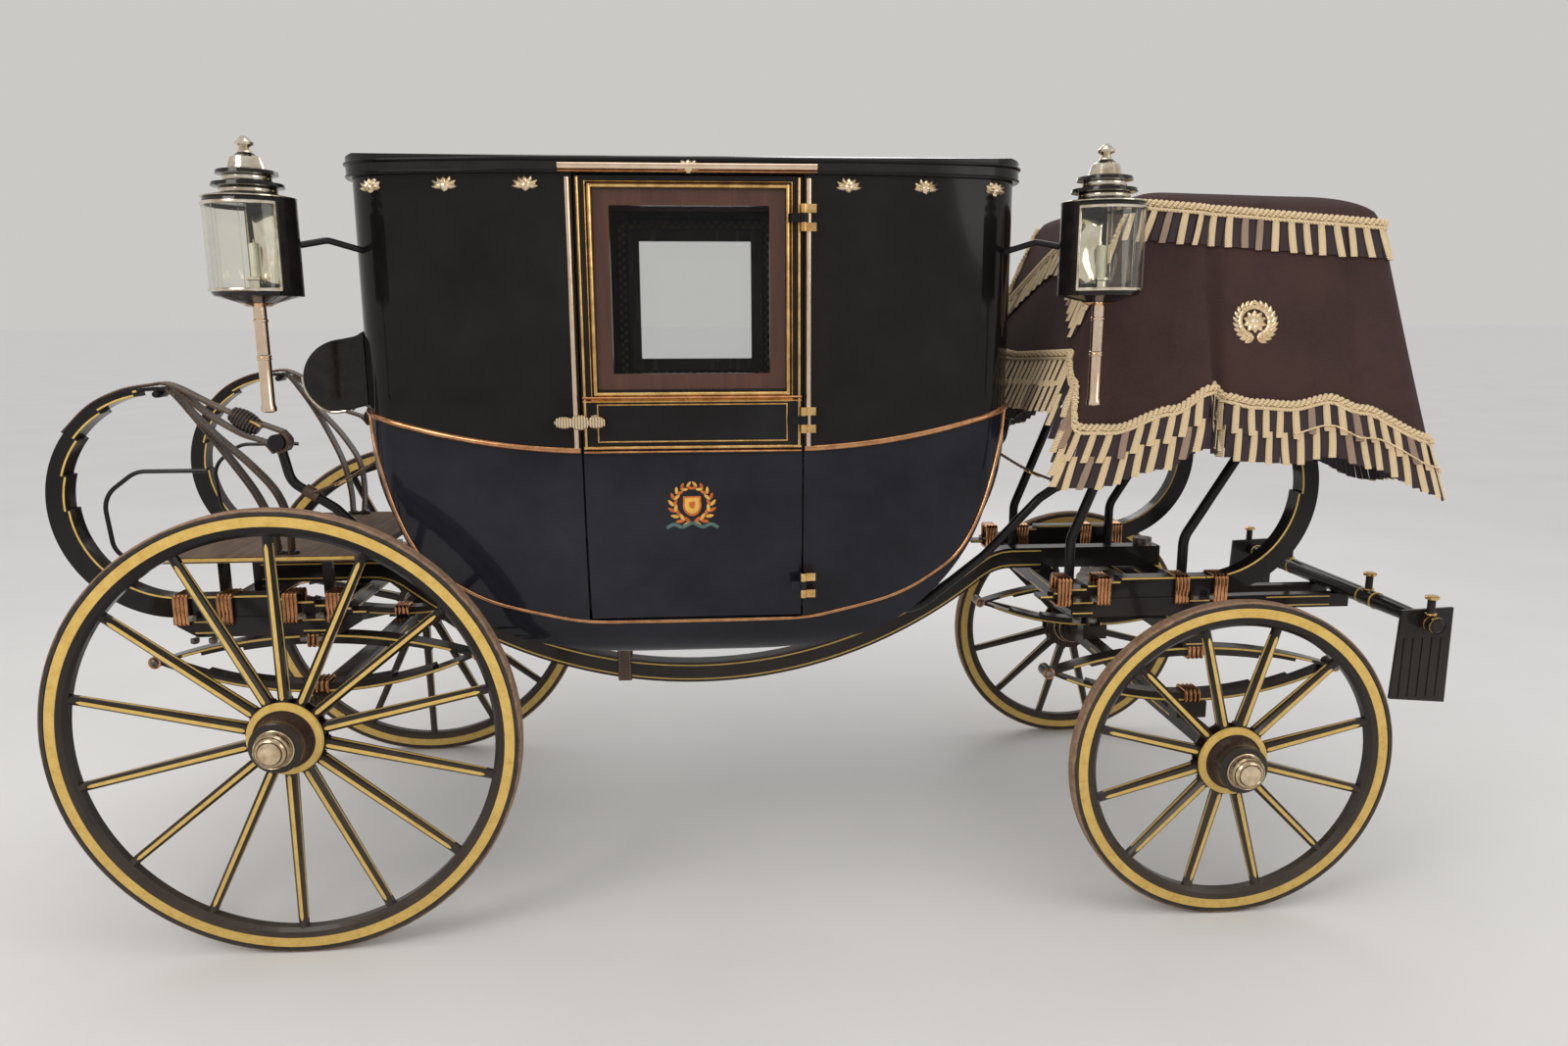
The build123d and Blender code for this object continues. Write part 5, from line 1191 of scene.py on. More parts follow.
def main_brace(shape, end, side):
    """Doubled leather from a C-spring's tip round the body loop's eye, with its shackle and washers."""
    y = side * SPRING_Y
    centre = at(C_MIDDLES[end], y, spring_centre_z())

    def round_spring(radius, degrees):
        turn = math.radians(degrees)
        return centre + Vector((end * radius * math.sin(turn), 0, -radius * math.cos(turn)))

    back = [round_spring(0.3205, degrees) for degrees in (128, 146, 162, 176, 186)]
    pin = [(0, -0.031), (0.008, -0.030), (0.0095, -0.026), (0.0095, 0.026), (0.008, 0.030), (0, 0.031)]
    shape.lathe(pin, round_spring(0.296, 180), (0, 1, 0), 20, 4)
    eye = at(end * 1.120, y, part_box("body_loops")[1].z - 0.022)
    toward = (eye - back[-1]).normalized()
    lead = eye - toward * 0.030 + UP * 0.0275
    half_way = back[-1].lerp(lead, 0.5) - UP * 0.007
    over = eye + Vector((toward.x * 0.010, 0, 0.0290))
    round_eye = [eye + Vector((-end * math.cos(turn), 0, math.sin(turn))) * 0.0285
                 for turn in map(math.radians, (60, 10, -40, -90))]
    strap(shape, back + [half_way, lead, over] + round_eye, *BRACE)
    start = back[-1] + toward * 0.016 - UP * 0.004
    strap(shape, [start, start.lerp(eye, 0.3) - UP * 0.026, start.lerp(eye, 0.62) - UP * 0.032,
                  eye - toward * 0.042 - UP * 0.022, eye + Vector((-toward.x * 0.012, 0, -0.0295))], *BRACE)
    washers = [(0.008, -0.0405)]
    for index in range(9):
        low = -0.040 + 0.080 * index / 9
        radius = 0.0285 * (1 - ((index - 4) / 4.6) ** 2 * 0.36)
        washers += [(radius - 0.0022, low + 0.0003), (radius, low + 0.0022), (radius, low + 0.0066),
                    (radius - 0.0022, low + 0.0086)]
    shape.lathe(washers + [(0.008, 0.0405)], half_way.lerp(eye, 0.42) + UP * 0.004, eye - half_way, 28, 2)
    buckle(shape, lead - toward * 0.022 + UP * 0.0015, toward, buckle_across(toward), BRACE[0], 3)


def buckle_across(along):
    """The direction across a strap that keeps its buckle on top."""
    return Vector((0, -1 if along.x > 0 else 1, 0))


def body_strap(shape, end, side):
    """The strap from a loop's iron to the body's end, with its buckle, pin and round plate."""
    wall = cast(body_tree, at(end * 1.2, side * 0.394, 1.288), (-end, 0, 0))
    iron = at(end * 1.046, side * SPRING_Y, 1.193)
    half_way, tail = iron.lerp(wall, 0.5) - UP * 0.008, wall + Vector((end * 0.004, 0, 0))
    strap(shape, [iron, half_way, tail], 0.036, 0.005)
    rise = (wall - iron).normalized()
    buckle(shape, iron.lerp(wall, 0.42) - UP * 0.005, rise, buckle_across(rise), 0.036, 3)
    shape.lathe([(0.0130, -0.022), (0.0170, -0.020), (0.0170, 0.020), (0.0130, 0.022)], iron,
                (-end * 0.83, 0, -0.55), 20, 0, caps=False)
    shape.lathe([(0.024, -0.006), (0.024, 0.001), (0.019, 0.004), (0.008, 0.006), (0, 0.0065)],
                wall + Vector((end * 0.004, 0, 0.004)), (end, 0, 0), 24, 3)


def braces():
    """Doubled leather from each C-spring's tip to the body loop, the stays behind and the body straps."""
    shape = Shape()
    for end in ENDS:
        for side in SIDES:
            main_brace(shape, end, side)
            body_strap(shape, end, side)
    for side in SIDES:
        for places in STAYS:
            strap(shape, [at(x, side * y, z) for x, y, z in places], *BRACE)
        for x in (-1.182, -1.146):
            shape.lathe([(0.020, -0.001), (0.020, 0.005), (0.014, 0.009), (0.006, 0.010), (0, 0.010)],
                        at(x, side * 0.318, 1.0085), sides=24, kind=4)
    made = piece("leather_braces_stitched", shape, "carriage",
                 [brown_leather, thread, dark_leather, brass, iron_black])
    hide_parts("leather_braces")


def check_loop():
    """The check strap round the perch: one leather loop up to the floor, with its buckle."""
    low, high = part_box("check_strap")
    shape = Shape()
    x, y = (low.x + high.x) / 2, 0.0315
    bottom, top = low.z + 0.0025, high.z - 0.012
    half = [(-y, top), (-y, (top + bottom) / 2), (-y, bottom + 0.012), (-y + 0.010, bottom)]
    places = half + [(0, bottom - 0.0005)] + [(-across, z) for across, z in reversed(half)]
    strap(shape, [Vector((x, *place)) for place in places], 0.044, 0.0052, across=(1, 0, 0))
    for side in SIDES:
        buckle(shape, Vector((x, side * (y + 0.001), 0.630)), UP, Vector((-side, 0, 0)), 0.040, 2)
    made = piece("check_strap_stitched", shape, "carriage", [brown_leather, thread, brass])
    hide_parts("check_strap")


# Padded pieces


def block_mesh(name, low, high, ease):
    mesh = bpy.data.meshes.new(name)
    work = bmesh.new()
    bmesh.ops.create_cube(work, size=1.0)
    size, middle = high - low, (low + high) / 2
    for vertex in work.verts:
        vertex.co = middle + Vector(a * b for a, b in zip(vertex.co, size))
    bmesh.ops.bevel(work, geom=work.edges, offset=ease, segments=4, profile=0.5, affect="EDGES")
    work.to_mesh(mesh)
    work.free()
    return mesh


def settle(made):
    """Works out an object's modifiers into its mesh."""
    graph = bpy.context.evaluated_depsgraph_get()
    made.data = bpy.data.meshes.new_from_object(made.evaluated_get(graph), depsgraph=graph)
    made.modifiers.clear()


def inflate(made):
    """Cloth pressure from inside, run for twenty frames."""
    settings = made.modifiers.new("cloth", "CLOTH").settings
    settings.quality = 4
    settings.mass = 0.3
    settings.tension_stiffness = settings.compression_stiffness = 12
    settings.shear_stiffness = 6
    settings.bending_stiffness = 0.4
    settings.use_pressure = True
    settings.uniform_pressure_force = 4
    settings.effector_weights.gravity = 0
    for number in range(1, 21):
        bpy.context.scene.frame_set(number)
    settle(made)
    bpy.context.scene.frame_set(1)


def stuffed(name, low, high, voxel, cap, crown):
    """A filled block: blown up by cloth pressure, kept to a most swell and inside its box."""
    shrink = Vector((cap * 0.35,) * 3)
    ease = min(0.03, (high - low)[crown] * 0.3)
    made = placed(name, block_mesh(name, low + shrink, high - shrink, ease))
    remesh = made.modifiers.new("remesh", "REMESH")
    remesh.mode, remesh.voxel_size = "VOXEL", voxel
    settle(made)
    start = [vertex.co.copy() for vertex in made.data.vertices]
    inflate(made)
    for vertex, before in zip(made.data.vertices, start):
        move = vertex.co - before
        if move.length > cap:
            move *= cap / move.length
        vertex.co = before + move
        for i in range(3):
            vertex.co[i] = min(high[i] - 0.0002, max(low[i] + 0.0002, vertex.co[i]))
    subdivide = made.modifiers.new("subdivide", "SUBSURF")
    subdivide.levels = subdivide.render_levels = 1
    settle(made)
    return made


def tufted(made, axis, facing, buttons, deep, spread):
    """Draws one face in at its buttons and along the pleats between them."""
    others = [(axis + 1) % 3, (axis + 2) % 3]
    flat = [Vector((button[others[0]], button[others[1]])) for button in buttons]
    pleats = [(a, b) for index, a in enumerate(flat) for b in flat[index + 1:]
              if (b - a).length < spread * 1.05 and abs(b.x - a.x) > 1e-3 and abs(b.y - a.y) > 1e-3]
    for vertex, normal in zip(made.data.vertices, [v.normal.copy() for v in made.data.vertices]):
        if normal[axis] * facing < 0.25:
            continue
        place = Vector((vertex.co[others[0]], vertex.co[others[1]]))
        drop = max(deep * math.exp(-((place - button).length / 0.026) ** 2) for button in flat)
        for a, b in pleats:
            share = max(0.0, min(1.0, (place - a).dot(b - a) / (b - a).length_squared))
            drop = max(drop, 0.0045 * math.exp(-((place - a.lerp(b, share)).length / 0.0055) ** 2))
        vertex.co[axis] -= facing * drop


def piping_round(shape, tree, middle, half, height, axis):
    """A corded seam round a block, laid on its surface at one height."""
    radius, squareness = 0.0042, 0.35
    first, second = [i for i in range(3) if i != axis]
    points, normals = [], []
    for index in range(96):
        turn = 2 * math.pi * index / 96
        start, inside = middle.copy(), middle.copy()
        start[axis] = inside[axis] = height
        for way, share in ((first, math.cos(turn)), (second, math.sin(turn))):
            across = math.copysign(abs(share) ** squareness, share)
            start[way] += across * half[way] * 1.3
            inside[way] += across * half[way] * 0.6
        hit, normal, _, _ = tree.ray_cast(start, (inside - start).normalized())
        if hit:
            points.append(hit + normal * radius * 0.3)
            normals.append(normal)
    shape.sweep(points, round_profile(radius, 8), normals, closed=True, kind=1)


def finish_pad(made, material, node):
    mesh = made.data
    mesh.materials.clear()
    mesh.materials.append(material)
    mesh.polygons.foreach_set("use_smooth", [True] * len(mesh.polygons))
    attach(made, "carriage")
    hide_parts(node)


def mirrored(made, name):
    """The same piece at the other end of the body."""
    mesh = made.data.copy()
    for vertex in mesh.vertices:
        vertex.co = other_end(vertex.co)
    mesh.flip_normals()
    return placed(name, mesh)


BUTTON = ((0.0085, -0.001), (0.0090, 0.0015), (0.0065, 0.0045), (0, 0.0055))


def button_rows(rows, width, pitch):
    """Buttons in rows set off by half a pitch, as pairs of (row's place, y)."""
    return [(place, -width + pitch * (i + row % 2 / 2))
            for row, place in enumerate(rows) for i in range(5 - row % 2)]


def seats():
    """Both seats: sprung cushions with buttons and piping, and deeply buttoned backs."""
    trim = Shape()
    low, high = at(0.408, -0.470, 1.1402), at(0.735, 0.470, 1.2348)
    cushion = stuffed("front_seat_cushion", low, high, 0.011, 0.018, 2)
    buttons = [at(x, y, high.z) for x, y in button_rows((0.480, 0.572, 0.664), 0.36, 0.18)]
    tufted(cushion, 2, 1, buttons, 0.014, 0.14)
    back_low, back_high = at(0.7602, -0.395, 1.2652), at(0.8298, 0.395, 1.7998)
    back = stuffed("front_seat_back", back_low, back_high, 0.011, 0.016, 0)
    rows = (1.350, 1.441, 1.532, 1.623, 1.714)
    studs = [Vector((back_low.x, y, z)) for z, y in button_rows(rows, 0.30, 0.15)]
    tufted(back, 0, -1, studs, 0.018, 0.125)
    for pad, axis, direction, places, a, b in ((cushion, 2, UP, buttons, low, high),
                                               (back, 0, Vector((-1, 0, 0)), studs, back_low, back_high)):
        mesh = pad.data
        tree = BVHTree.FromPolygons([v.co for v in mesh.vertices], [p.vertices for p in mesh.polygons])
        for place in places:
            hit = cast(tree, place + direction * 0.1, -direction)
            if hit:
                trim.lathe(BUTTON, hit, direction, 18)
        middle, half = (a + b) / 2, (b - a) / 2
        for sign in ENDS:
            piping_round(trim, tree, middle, half, middle[axis] + sign * half[axis] * 0.52, axis)
    rear_cushion, rear_back = mirrored(cushion, "rear_seat_cushion"), mirrored(back, "rear_seat_back")
    for pad, node in ((cushion, "seat_cushions"), (rear_cushion, "seat_cushions"),
                      (back, "seat_backs"), (rear_back, "seat_backs")):
        finish_pad(pad, gold_cloth, node)
    twin = Shape()
    twin.place_copy(trim, Matrix.Identity(4))
    twin.vertices = [other_end(vertex) for vertex in twin.vertices]
    trim.place_copy(twin, Matrix.Identity(4))
    piece("seat_trim", trim, "carriage", [gold_cloth, coach_lace])


def coachman_pad():
    low, high = at(1.2212, -0.4338, 1.7902), at(1.8778, 0.4338, 1.9278)
    finish_pad(stuffed("coachman_pad", low, high, 0.015, 0.020, 2), dark_leather, "coachman_cushion")


# Linings inside the body


def lining(name, tree, rows, columns, place, direction, lift, body="carriage", bulge=None):
    """Cloth on an inside wall: a grid of points where rays meet the wall, held off it by lift."""
    shape = Shape()
    direction = Vector(direction)
    rings = []
    for i in range(rows + 1):
        ring = []
        for j in range(columns + 1):
            origin = place(i / rows, j / columns)
            hit = cast(tree, origin, direction) or origin + direction * 0.3
            ring.append(hit - direction * (lift + (bulge(i / rows, j / columns) if bulge else 0.0)))
        rings.append(ring)
    shape.rings(rings, 0, open_ring=True)
    made = piece(name, shape, body, [brown_cloth])
    thicken = made.modifiers.new("cloth", "SOLIDIFY")
    thicken.thickness, thicken.offset = 0.0015, 0


def linings():
    walls = tree_of(BODY_WALLS)

    def quilt(i, j):
        waves = math.prod(math.sin(math.pi * 3 * (i + way * j * 0.8)) for way in ENDS)
        return 0.010 * abs(waves) ** 0.5

    for end, word in zip(ENDS, ("rear", "front")):
        for side in SIDES:
            lining(f"{word}_{SIDE_NAMES[side]}_quarter_lining", walls, 26, 40,
                   lambda i, j: at(end * (0.330 + 0.400 * i), 0, 1.300 + 0.680 * j),
                   (0, side, 0), 0.004, bulge=quilt)
        lining(f"{word}_wall_lining", walls, 26, 30,
               lambda i, j: at(0, -0.44 + 0.88 * i, 1.160 + 0.820 * j), (end, 0, 0), 0.004)
    lining("head_lining", tree_of(["roof_panel"]), 40, 30,
           lambda i, j: at(-0.72 + 1.44 * i, -0.52 + 1.04 * j, 1.75), UP, 0.006,
           bulge=lambda i, j: 0.004 * abs(math.sin(math.pi * 9 * j)))
    for side in SIDES:
        name = f"{SIDE_NAMES[side]}_door"
        door = tree_of([name])
        lining(f"{name}_lining", door, 30, 30,
               lambda i, j: at(-0.262 + 0.524 * i, 0, 0.890 + 0.565 * j), (0, side, 0), 0.003, name,
               lambda i, j: 0.006 * (math.sin(math.pi * i) * math.sin(math.pi * j)) ** 0.4)
        door_lace(name, side, door)


def door_lace(name, side, door):
    """Broad lace round the inside of a door's panel, on its curve, and round its window."""
    shape = Shape()
    y = cast(door, at(0.262, 0, 1.70), (0, side, 0)).y - side * 0.0005
    for half, bottom, top, width, curved in ((0.262, 0.905, 1.440, 0.020, True),
                                             (0.2595, 1.4600, 1.9900, 0.026, False)):
        for (x0, z0), (x1, z1) in rectangle(half, bottom, top):
            path = line(at(x0, y - side * 0.002, z0), at(x1, y - side * 0.002, z1), 9 if curved else 3)
            for point in path if curved else ():
                hit = cast(door, (point.x, 0, point.z), (0, side, 0))
                point.y = (hit.y if hit else y) - side * 0.0045
            shape.sweep(path, bar_profile(width, 0.0022), (0, -side, 0))
    piece(f"{name}_lace", shape, name, [coach_lace])


def door_rebates():
    """Strips inside the body that close the gap round each door, clear of the door itself."""
    walls = tree_of(BODY_WALLS)
    shape = Shape()

    def strip(foot, cover, inward):
        for path, width, height, lift in ((foot, 0.022, 0.0045, 0.0), (cover, 0.024, 0.0030, 0.0015)):
            shape.sweep([point + inward * lift for point in path], bar_profile(width, height), inward)

    for side in SIDES:
        out = Vector((0, side, 0))
        for hand in ENDS:
            inner = [cast(walls, at(hand * 0.300, 0, 0.868 + 1.138 * index / 29), out)
                     for index in range(30)]
            strip([point + Vector((hand * 0.0005, 0, 0)) for point in inner],
                  [point - Vector((hand * 0.0115, 0, 0)) for point in inner], -out)
        sill = [cast(walls, at(x * 0.29, 0, 0.8535), out) for x in (-1, -0.5, 0, 0.5, 1)]
        strip([point - UP * 0.006 for point in sill], [point + UP * 0.005 for point in sill], -out)
        head = [at(x, side * (BODY_HALF_WIDTH - 0.035), 2.0215) for x in (-0.290, 0.0, 0.290)]
        strip(head, [point - UP * 0.006 for point in head], -out)
    piece("door_rebates", shape, "carriage", [coach_black])


# Hammercloth

CLOTH_LOW, CLOTH_HIGH = 1.250, 1.940
FRINGE_PITCH = 0.0415
# The hem's height along a side, as pairs of (x, z)
HEM_TABLE = ((0.940, 1.392), (1.020, 1.374), (1.092, 1.374), (1.243, 1.424), (1.345, 1.478), (1.372, 1.484),
             (1.412, 1.453), (1.500, 1.437), (1.618, 1.430), (1.730, 1.449), (1.821, 1.420), (2.030, 1.338))


def ease_in(value):
    value = max(0.0, min(1.0, value))
    return value * value * (3 - 2 * value)


def bell(value, middle, width):
    """A smooth rise to 1 at the middle and back to 0."""
    return math.exp(-((value - middle) / width) ** 2)


def cloth_side(length, radius, share):
    """Where a share of one side of the cloth's outline lies, with half of each round corner."""
    half_arc = radius * math.pi / 4
    total = length - 2 * radius + 2 * half_arc
    gone = share * total
    if gone < half_arc:
        angle = (half_arc - gone) / radius
        return radius - radius * math.sin(angle), radius * (1 - math.cos(angle)), -angle
    if gone > total - half_arc:
        angle = (gone - total + half_arc) / radius
        return length - radius + radius * math.sin(angle), radius * (1 - math.cos(angle)), angle
    return radius + gone - half_arc, 0.0, 0.0


def cloth_outline(girth, z, scale=1.0):
    """A point of the cloth's outline at a height and its outward direction; girth runs 0 to 4."""
    t = (CLOTH_HIGH - z) / (CLOTH_HIGH - CLOTH_LOW)
    rear, front, half = 1.195 - 0.291 * t, 1.904 + 0.136 * t, 0.460 + 0.160 * t
    radius = 0.045 + 0.03 * max(0, t)
    side = int(girth) % 4
    start = ((rear, -half), (front, -half), (front, half), (rear, half))[side]
    run = ((1, 0), (0, 1), (-1, 0), (0, -1))[side]
    out = ((0, -1), (1, 0), (0, 1), (-1, 0))[side]
    length = (front - rear) if side % 2 == 0 else 2 * half
    along, inward, angle = cloth_side(length, radius, girth - int(girth))
    x, y = (start[i] + run[i] * along - out[i] * inward for i in range(2))
    nx, ny = (out[i] * math.cos(angle) + run[i] * math.sin(angle) for i in range(2))
    middle = (rear + front) / 2
    return middle + (x - middle) * scale, y * scale, nx, ny, side


def cloth_fold(x, y, side, hang):
    """How far the hanging cloth stands out: the raised rear part of each side, its seams and soft waves."""
    if side in (0, 2):
        raised = ease_in((x - 1.06) / 0.28) * (1 - ease_in((x - 1.374) / 0.018))
        raised *= 0.040 * (0.15 + 0.85 * hang)
        groove = -0.018 * bell(x, 1.408, 0.020) * min(1.0, hang + 0.2)
        seam = 0.004 * (hang * bell(x, 1.80, 0.030) - bell(x, 1.781, 0.006))
        waves = 0.0035 * hang * math.sin(19 * x + 1.2 * y) + 0.0015 * math.sin(47 * x + 5 * hang)
        return raised + groove + seam + waves
    if side == 1:
        fold = 0.016 * hang * sum(bell(y, place, 0.045) for place in (-0.27, 0.27))
        return fold + 0.004 * hang * math.sin(17 * y)
    return 0.003 * hang * math.sin(15 * y + 0.6) - 0.002


def cloth_top(girth):
    """Height of the cloth's upper edge, where its top braid runs on three sides."""
    x, _, _, _, _ = cloth_outline(girth, CLOTH_HIGH)
    return 1.964 - 0.053 * max(0.0, min(1.0, (x - 1.195) / 0.709))


def cloth_hem(girth):
    """Height of the cloth's lower edge: cut in steps on the sides, scalloped in front, short behind."""
    side, share = int(girth) % 4, girth - int(girth)
    if side in (0, 2):
        x = 0.945 + (share if side == 0 else 1 - share) * 1.085
        for (x0, z0), (x1, z1) in zip(HEM_TABLE, HEM_TABLE[1:]):
            if x <= x1 or x1 == HEM_TABLE[-1][0]:
                level = z0 + (z1 - z0) * ease_in((x - x0) / (x1 - x0))
                break
        return level + 0.10 * (1 - ease_in((x - 0.945) / 0.045))
    across = abs(share - 0.5) * 2
    if side == 1:
        return 1.338 + 0.014 * math.cos(math.pi * 3 * across)
    return 1.548 - 0.056 * ease_in((across - 0.90) / 0.10) + 0.022 * across * (across < 0.9)


def rear_swag(girth):
    """The braid of the rear face, highest in the middle and dipping before each corner."""
    across = abs((girth - int(girth)) - 0.5) * 2
    dip = 1.895 - 0.190 * min(1.0, across / 0.80) ** 1.5
    return dip + (1.964 - dip) * ease_in((across - 0.80) / 0.18)


def on_cloth(girth, z, lift=0.0):
    x, y, nx, ny, side = cloth_outline(girth, z)
    top, hem = cloth_top(girth), cloth_hem(girth)
    hang = max(0.0, min(1.35, (top - z) / (top - hem)))
    out = cloth_fold(x, y, side, hang) + lift
    return at(x + nx * out, y + ny * out, z), Vector((nx, ny, 0.24)).normalized()


def cloth_shape():
    """One sheet from the hem up and over the seat to the middle of its crown."""
    shape = Shape()
    around, down, over = 420, 60, 26
    turns = [4 * column / around for column in range(around)]
    edges = [(girth, cloth_top(girth), cloth_hem(girth)) for girth in turns]
    rings = [[on_cloth(girth, hem + (top - hem) * row / down)[0] for girth, top, hem in edges]
             for row in range(down + 1)]
    for row in range(1, over + 1):
        scale = 1 - row / over
        ring = []
        for girth, top, _ in edges:
            x, y, _, _, _ = cloth_outline(girth, top, max(scale, 0.002))
            crown = 2.014 - 0.012 * (x - 1.25)
            z = top + (crown - top) * (1 - scale ** 4) ** 0.55
            z += 0.0025 * noise.noise(Vector((x * 6, y * 6, 0.4))) * (1 - scale)
            ring.append(at(x, y, z))
        rings.append(ring)
    shape.rings(rings, caps=False)
    return shape


def girths(pitch, height):
    """Places round the whole cloth at an even pitch, measured at a height."""
    places, carried, last = [], 0.0, None
    for index in range(2001):
        girth = index / 500 % 4
        point = on_cloth(girth, height(girth))[0]
        if last is not None:
            carried += (point - last).length
        if last is None or carried >= pitch:
            places.append(girth)
            carried = 0.0
        last = point
    return places[:-1]


def braid(shape, places, height):
    """Two cords twisted together and laid on the cloth, with a plain cord under them."""
    lift, pitch = 0.0080, 0.030
    plain = [on_cloth(girth, height(girth) - 0.0150, lift * 0.8) for girth in places[::4]]
    shape.sweep([point for point, _ in plain], round_profile(0.0050, 8),
                [out for _, out in plain], closed=True)
    middle = [on_cloth(girth, height(girth), lift) for girth in places]
    lengths = [0.0]
    for (a, _), (b, _) in zip(middle, middle[1:]):
        lengths.append(lengths[-1] + (b - a).length)
    # Whole turns over the length and the last step, so that the ends meet
    per_metre = 2 * math.pi * round(lengths[-1] / pitch) / (lengths[-1] + 0.006)
    for phase in (0.0, math.pi):
        path = []
        for index, (point, out) in enumerate(middle):
            after, before = middle[(index + 1) % len(middle)][0], middle[index - 1][0]
            across = (after - before).normalized().cross(out).normalized()
            turn = phase + per_metre * lengths[index]
            path.append(point + across * math.cos(turn) * 0.0056 + out * math.sin(turn) * 0.0046)
        shape.sweep(path, round_profile(0.0052, 6), [out for _, out in middle], closed=True)


def bundle(shape, girth, top, lift, out, along, length, width, thick, sway, kind):
    """One fringe bundle: bullion cords side by side in a flat, square-ended tab that lies on the cloth."""
    rows = 4
    rings = []
    for row in range(rows + 1):
        t = row / rows
        middle = on_cloth(girth, top - length * t, lift)[0] + along * sway * 0.007 * t * t + out * 0.003 * t
        half = width / 2 * (0.86 + 0.14 * min(1.0, t * 3))
        ring = []
        for column in range(13):
            share = -1 + column / 6
            bulge = (0.62 + 0.38 * abs(math.sin(2 * math.pi * (share + 1)))) * (1 - abs(share) ** 5) ** 0.5
            ring.append(middle + along * (half * share) + out * (thick * bulge))
        ring += [middle + along * (half * share) - out * 0.001 for share in (0.9, 0.0, -0.9)]
        rings.append(ring)
    shape.rings(rings, kind)


def fringe(name, places, height, length, seed):
    """Cream bundles with a few muted ones over an unbroken row of plum ones."""
    shape = Shape()
    dice = random.Random(seed)
    for index, girth in enumerate(places):
        step = (places[(index + 1) % len(places)] - girth) % 4
        for half, is_light in ((0.0, True), (0.0, False), (0.5, False)):
            place = (girth + min(step, 0.08) * half) % 4
            lift, width, thick = (0.0030, 0.0195, 0.0058) if is_light else (0.0008, 0.0225, 0.0024)
            point, out = on_cloth(place, height(place), lift)
            along = on_cloth((place + 0.004) % 4, height(place), lift)[0] - point
            along.z = out.z = 0
            kind = (0 if dice.random() < 0.90 else 1) if is_light else 2
            sway = dice.uniform(-1, 1) * (1.0 if is_light else 0.2)
            reach = length * (dice.uniform(0.97, 1.03) if is_light else 0.97)
            bundle(shape, place, height(place), lift, out.normalized(), along.normalized(),
                   reach, width, thick, sway, kind)
    return piece(name, shape, "carriage", CORDS, 60)


def top_line(girth):
    return cloth_top(girth) if girth < 3 or girth > 3.97 else rear_swag(girth)


def hem_line(girth):
    return cloth_hem(girth) - 0.002


def under_line(girth):
    return cloth_hem(girth) - 0.078


def hammer():
    """The hammercloth: its sheet, braids, three rows of fringe and a gilt device on each side."""
    made = piece("hammercloth_sheet", cloth_shape(), "carriage", [plum_cloth], smooth=180)
    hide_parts("hammercloth")
    trims = Shape()
    fine = [4 * index / 1400 for index in range(1400)]
    braid(trims, fine, top_line)
    braid(trims, fine, hem_line)
    thin = [girth % 4 for girth in (0.62 + 2.0 * index / 400 for index in range(401))]
    trims.sweep([on_cloth(g, under_line(g) + 0.004 * math.sin(30 * g), 0.016)[0] for g in thin],
                round_profile(0.0022, 6), [on_cloth(g, under_line(g))[1] for g in thin])
    top_places, hem_places = girths(FRINGE_PITCH, top_line), girths(FRINGE_PITCH, hem_line)
    between = [(girth + 0.012) % 4 for girth in hem_places]
    parts = [piece("hammercloth_braid", trims, "carriage", CORDS),
             fringe("hammercloth_top_fringe", top_places, lambda g: top_line(g) - 0.012, 0.088, 3),
             fringe("hammercloth_hem_fringe", hem_places, lambda g: hem_line(g) - 0.012, 0.078, 5),
             fringe("hammercloth_under_fringe", between, under_line, 0.084, 7),
             cloth_devices()]


def cloth_devices():
    """A generic gilt device on each side of the cloth: a ten-petalled rosette in a wreath."""
    device, rosette = Shape(), Shape()
    spray = wreath(0.038, 0.023, 0.0125, 0.0050, 11)
    for index in range(10):
        rosette.place_copy(leaf(0.026, 0.014, 0.006), Matrix.Rotation(math.tau * index / 10, 4, "Y"))
    rosette.lathe([(0.0085, 0.0), (0.0085, 0.004), (0.005, 0.0075), (0, 0.0085)], Vector(), (0, -1, 0), 24)
    x, z = at(1.518, 0, 0).x, 1.647
    for side, first in ((RIGHT, 0.0), (LEFT, 2.0)):
        places = [first + index / 1000 for index in range(1000)]
        girth = min(places, key=lambda g: abs(on_cloth(g, z)[0].x - x))
        base, _ = on_cloth(girth, z, 0.001)
        lean = Matrix.Rotation(-math.atan2(0.16, 0.69), 4, "X")
        turn = Matrix.Rotation(0 if side == RIGHT else math.pi, 4, "Z") @ lean
        stand = Matrix.Translation(base) @ turn @ Matrix.Diagonal((1.25, 1.1, 1.18, 1))
        for shape in (spray, rosette):
            device.place_copy(shape, stand, 0)
    return piece("hammercloth_rosettes", device, "carriage", [gilt])


# Everything in its place

for build in (body_mouldings, end_mouldings, body_ornaments, sword_case_bead, lamp_trim, c_spring_lining,
              spring_clips, perch_lining, carriage_lines, fore_lines, splinter_bands, braces, check_loop,
              seats, coachman_pad, linings, door_rebates, hammer):
    build()
elliptic_lining("hind_elliptic_springs", "carriage", "hind_elliptic_lining")
elliptic_lining("fore_elliptic_springs", "fore_carriage", "fore_elliptic_lining")
for side in SIDES:
    door_trim(side)
    door_wreath(side)
    for end in WHEELS:
        wheel_lining(end, side)
        hub_cap(end, side)


# Floor, light and camera


def floor():
    finish = Finish("pale_floor")
    tone = finish.noise(0.8, 6.0, 0.6)
    paper = finish.look(finish.ramp(tone, (0.3, (0.72, 0.705, 0.68)), (0.7, (0.76, 0.745, 0.72))),
                        finish.span(tone, 0.75, 0.9, 0.3, 0.7), (finish.noise(90.0, 4.0), 0.1, 0.001))
    mesh = bpy.data.meshes.new("floor")
    mesh.from_pydata([(-400, -400, 0), (400, -400, 0), (400, 400, 0), (-400, 400, 0)], [], [(0, 1, 2, 3)])
    mesh.materials.append(paper)
    placed("floor", mesh)


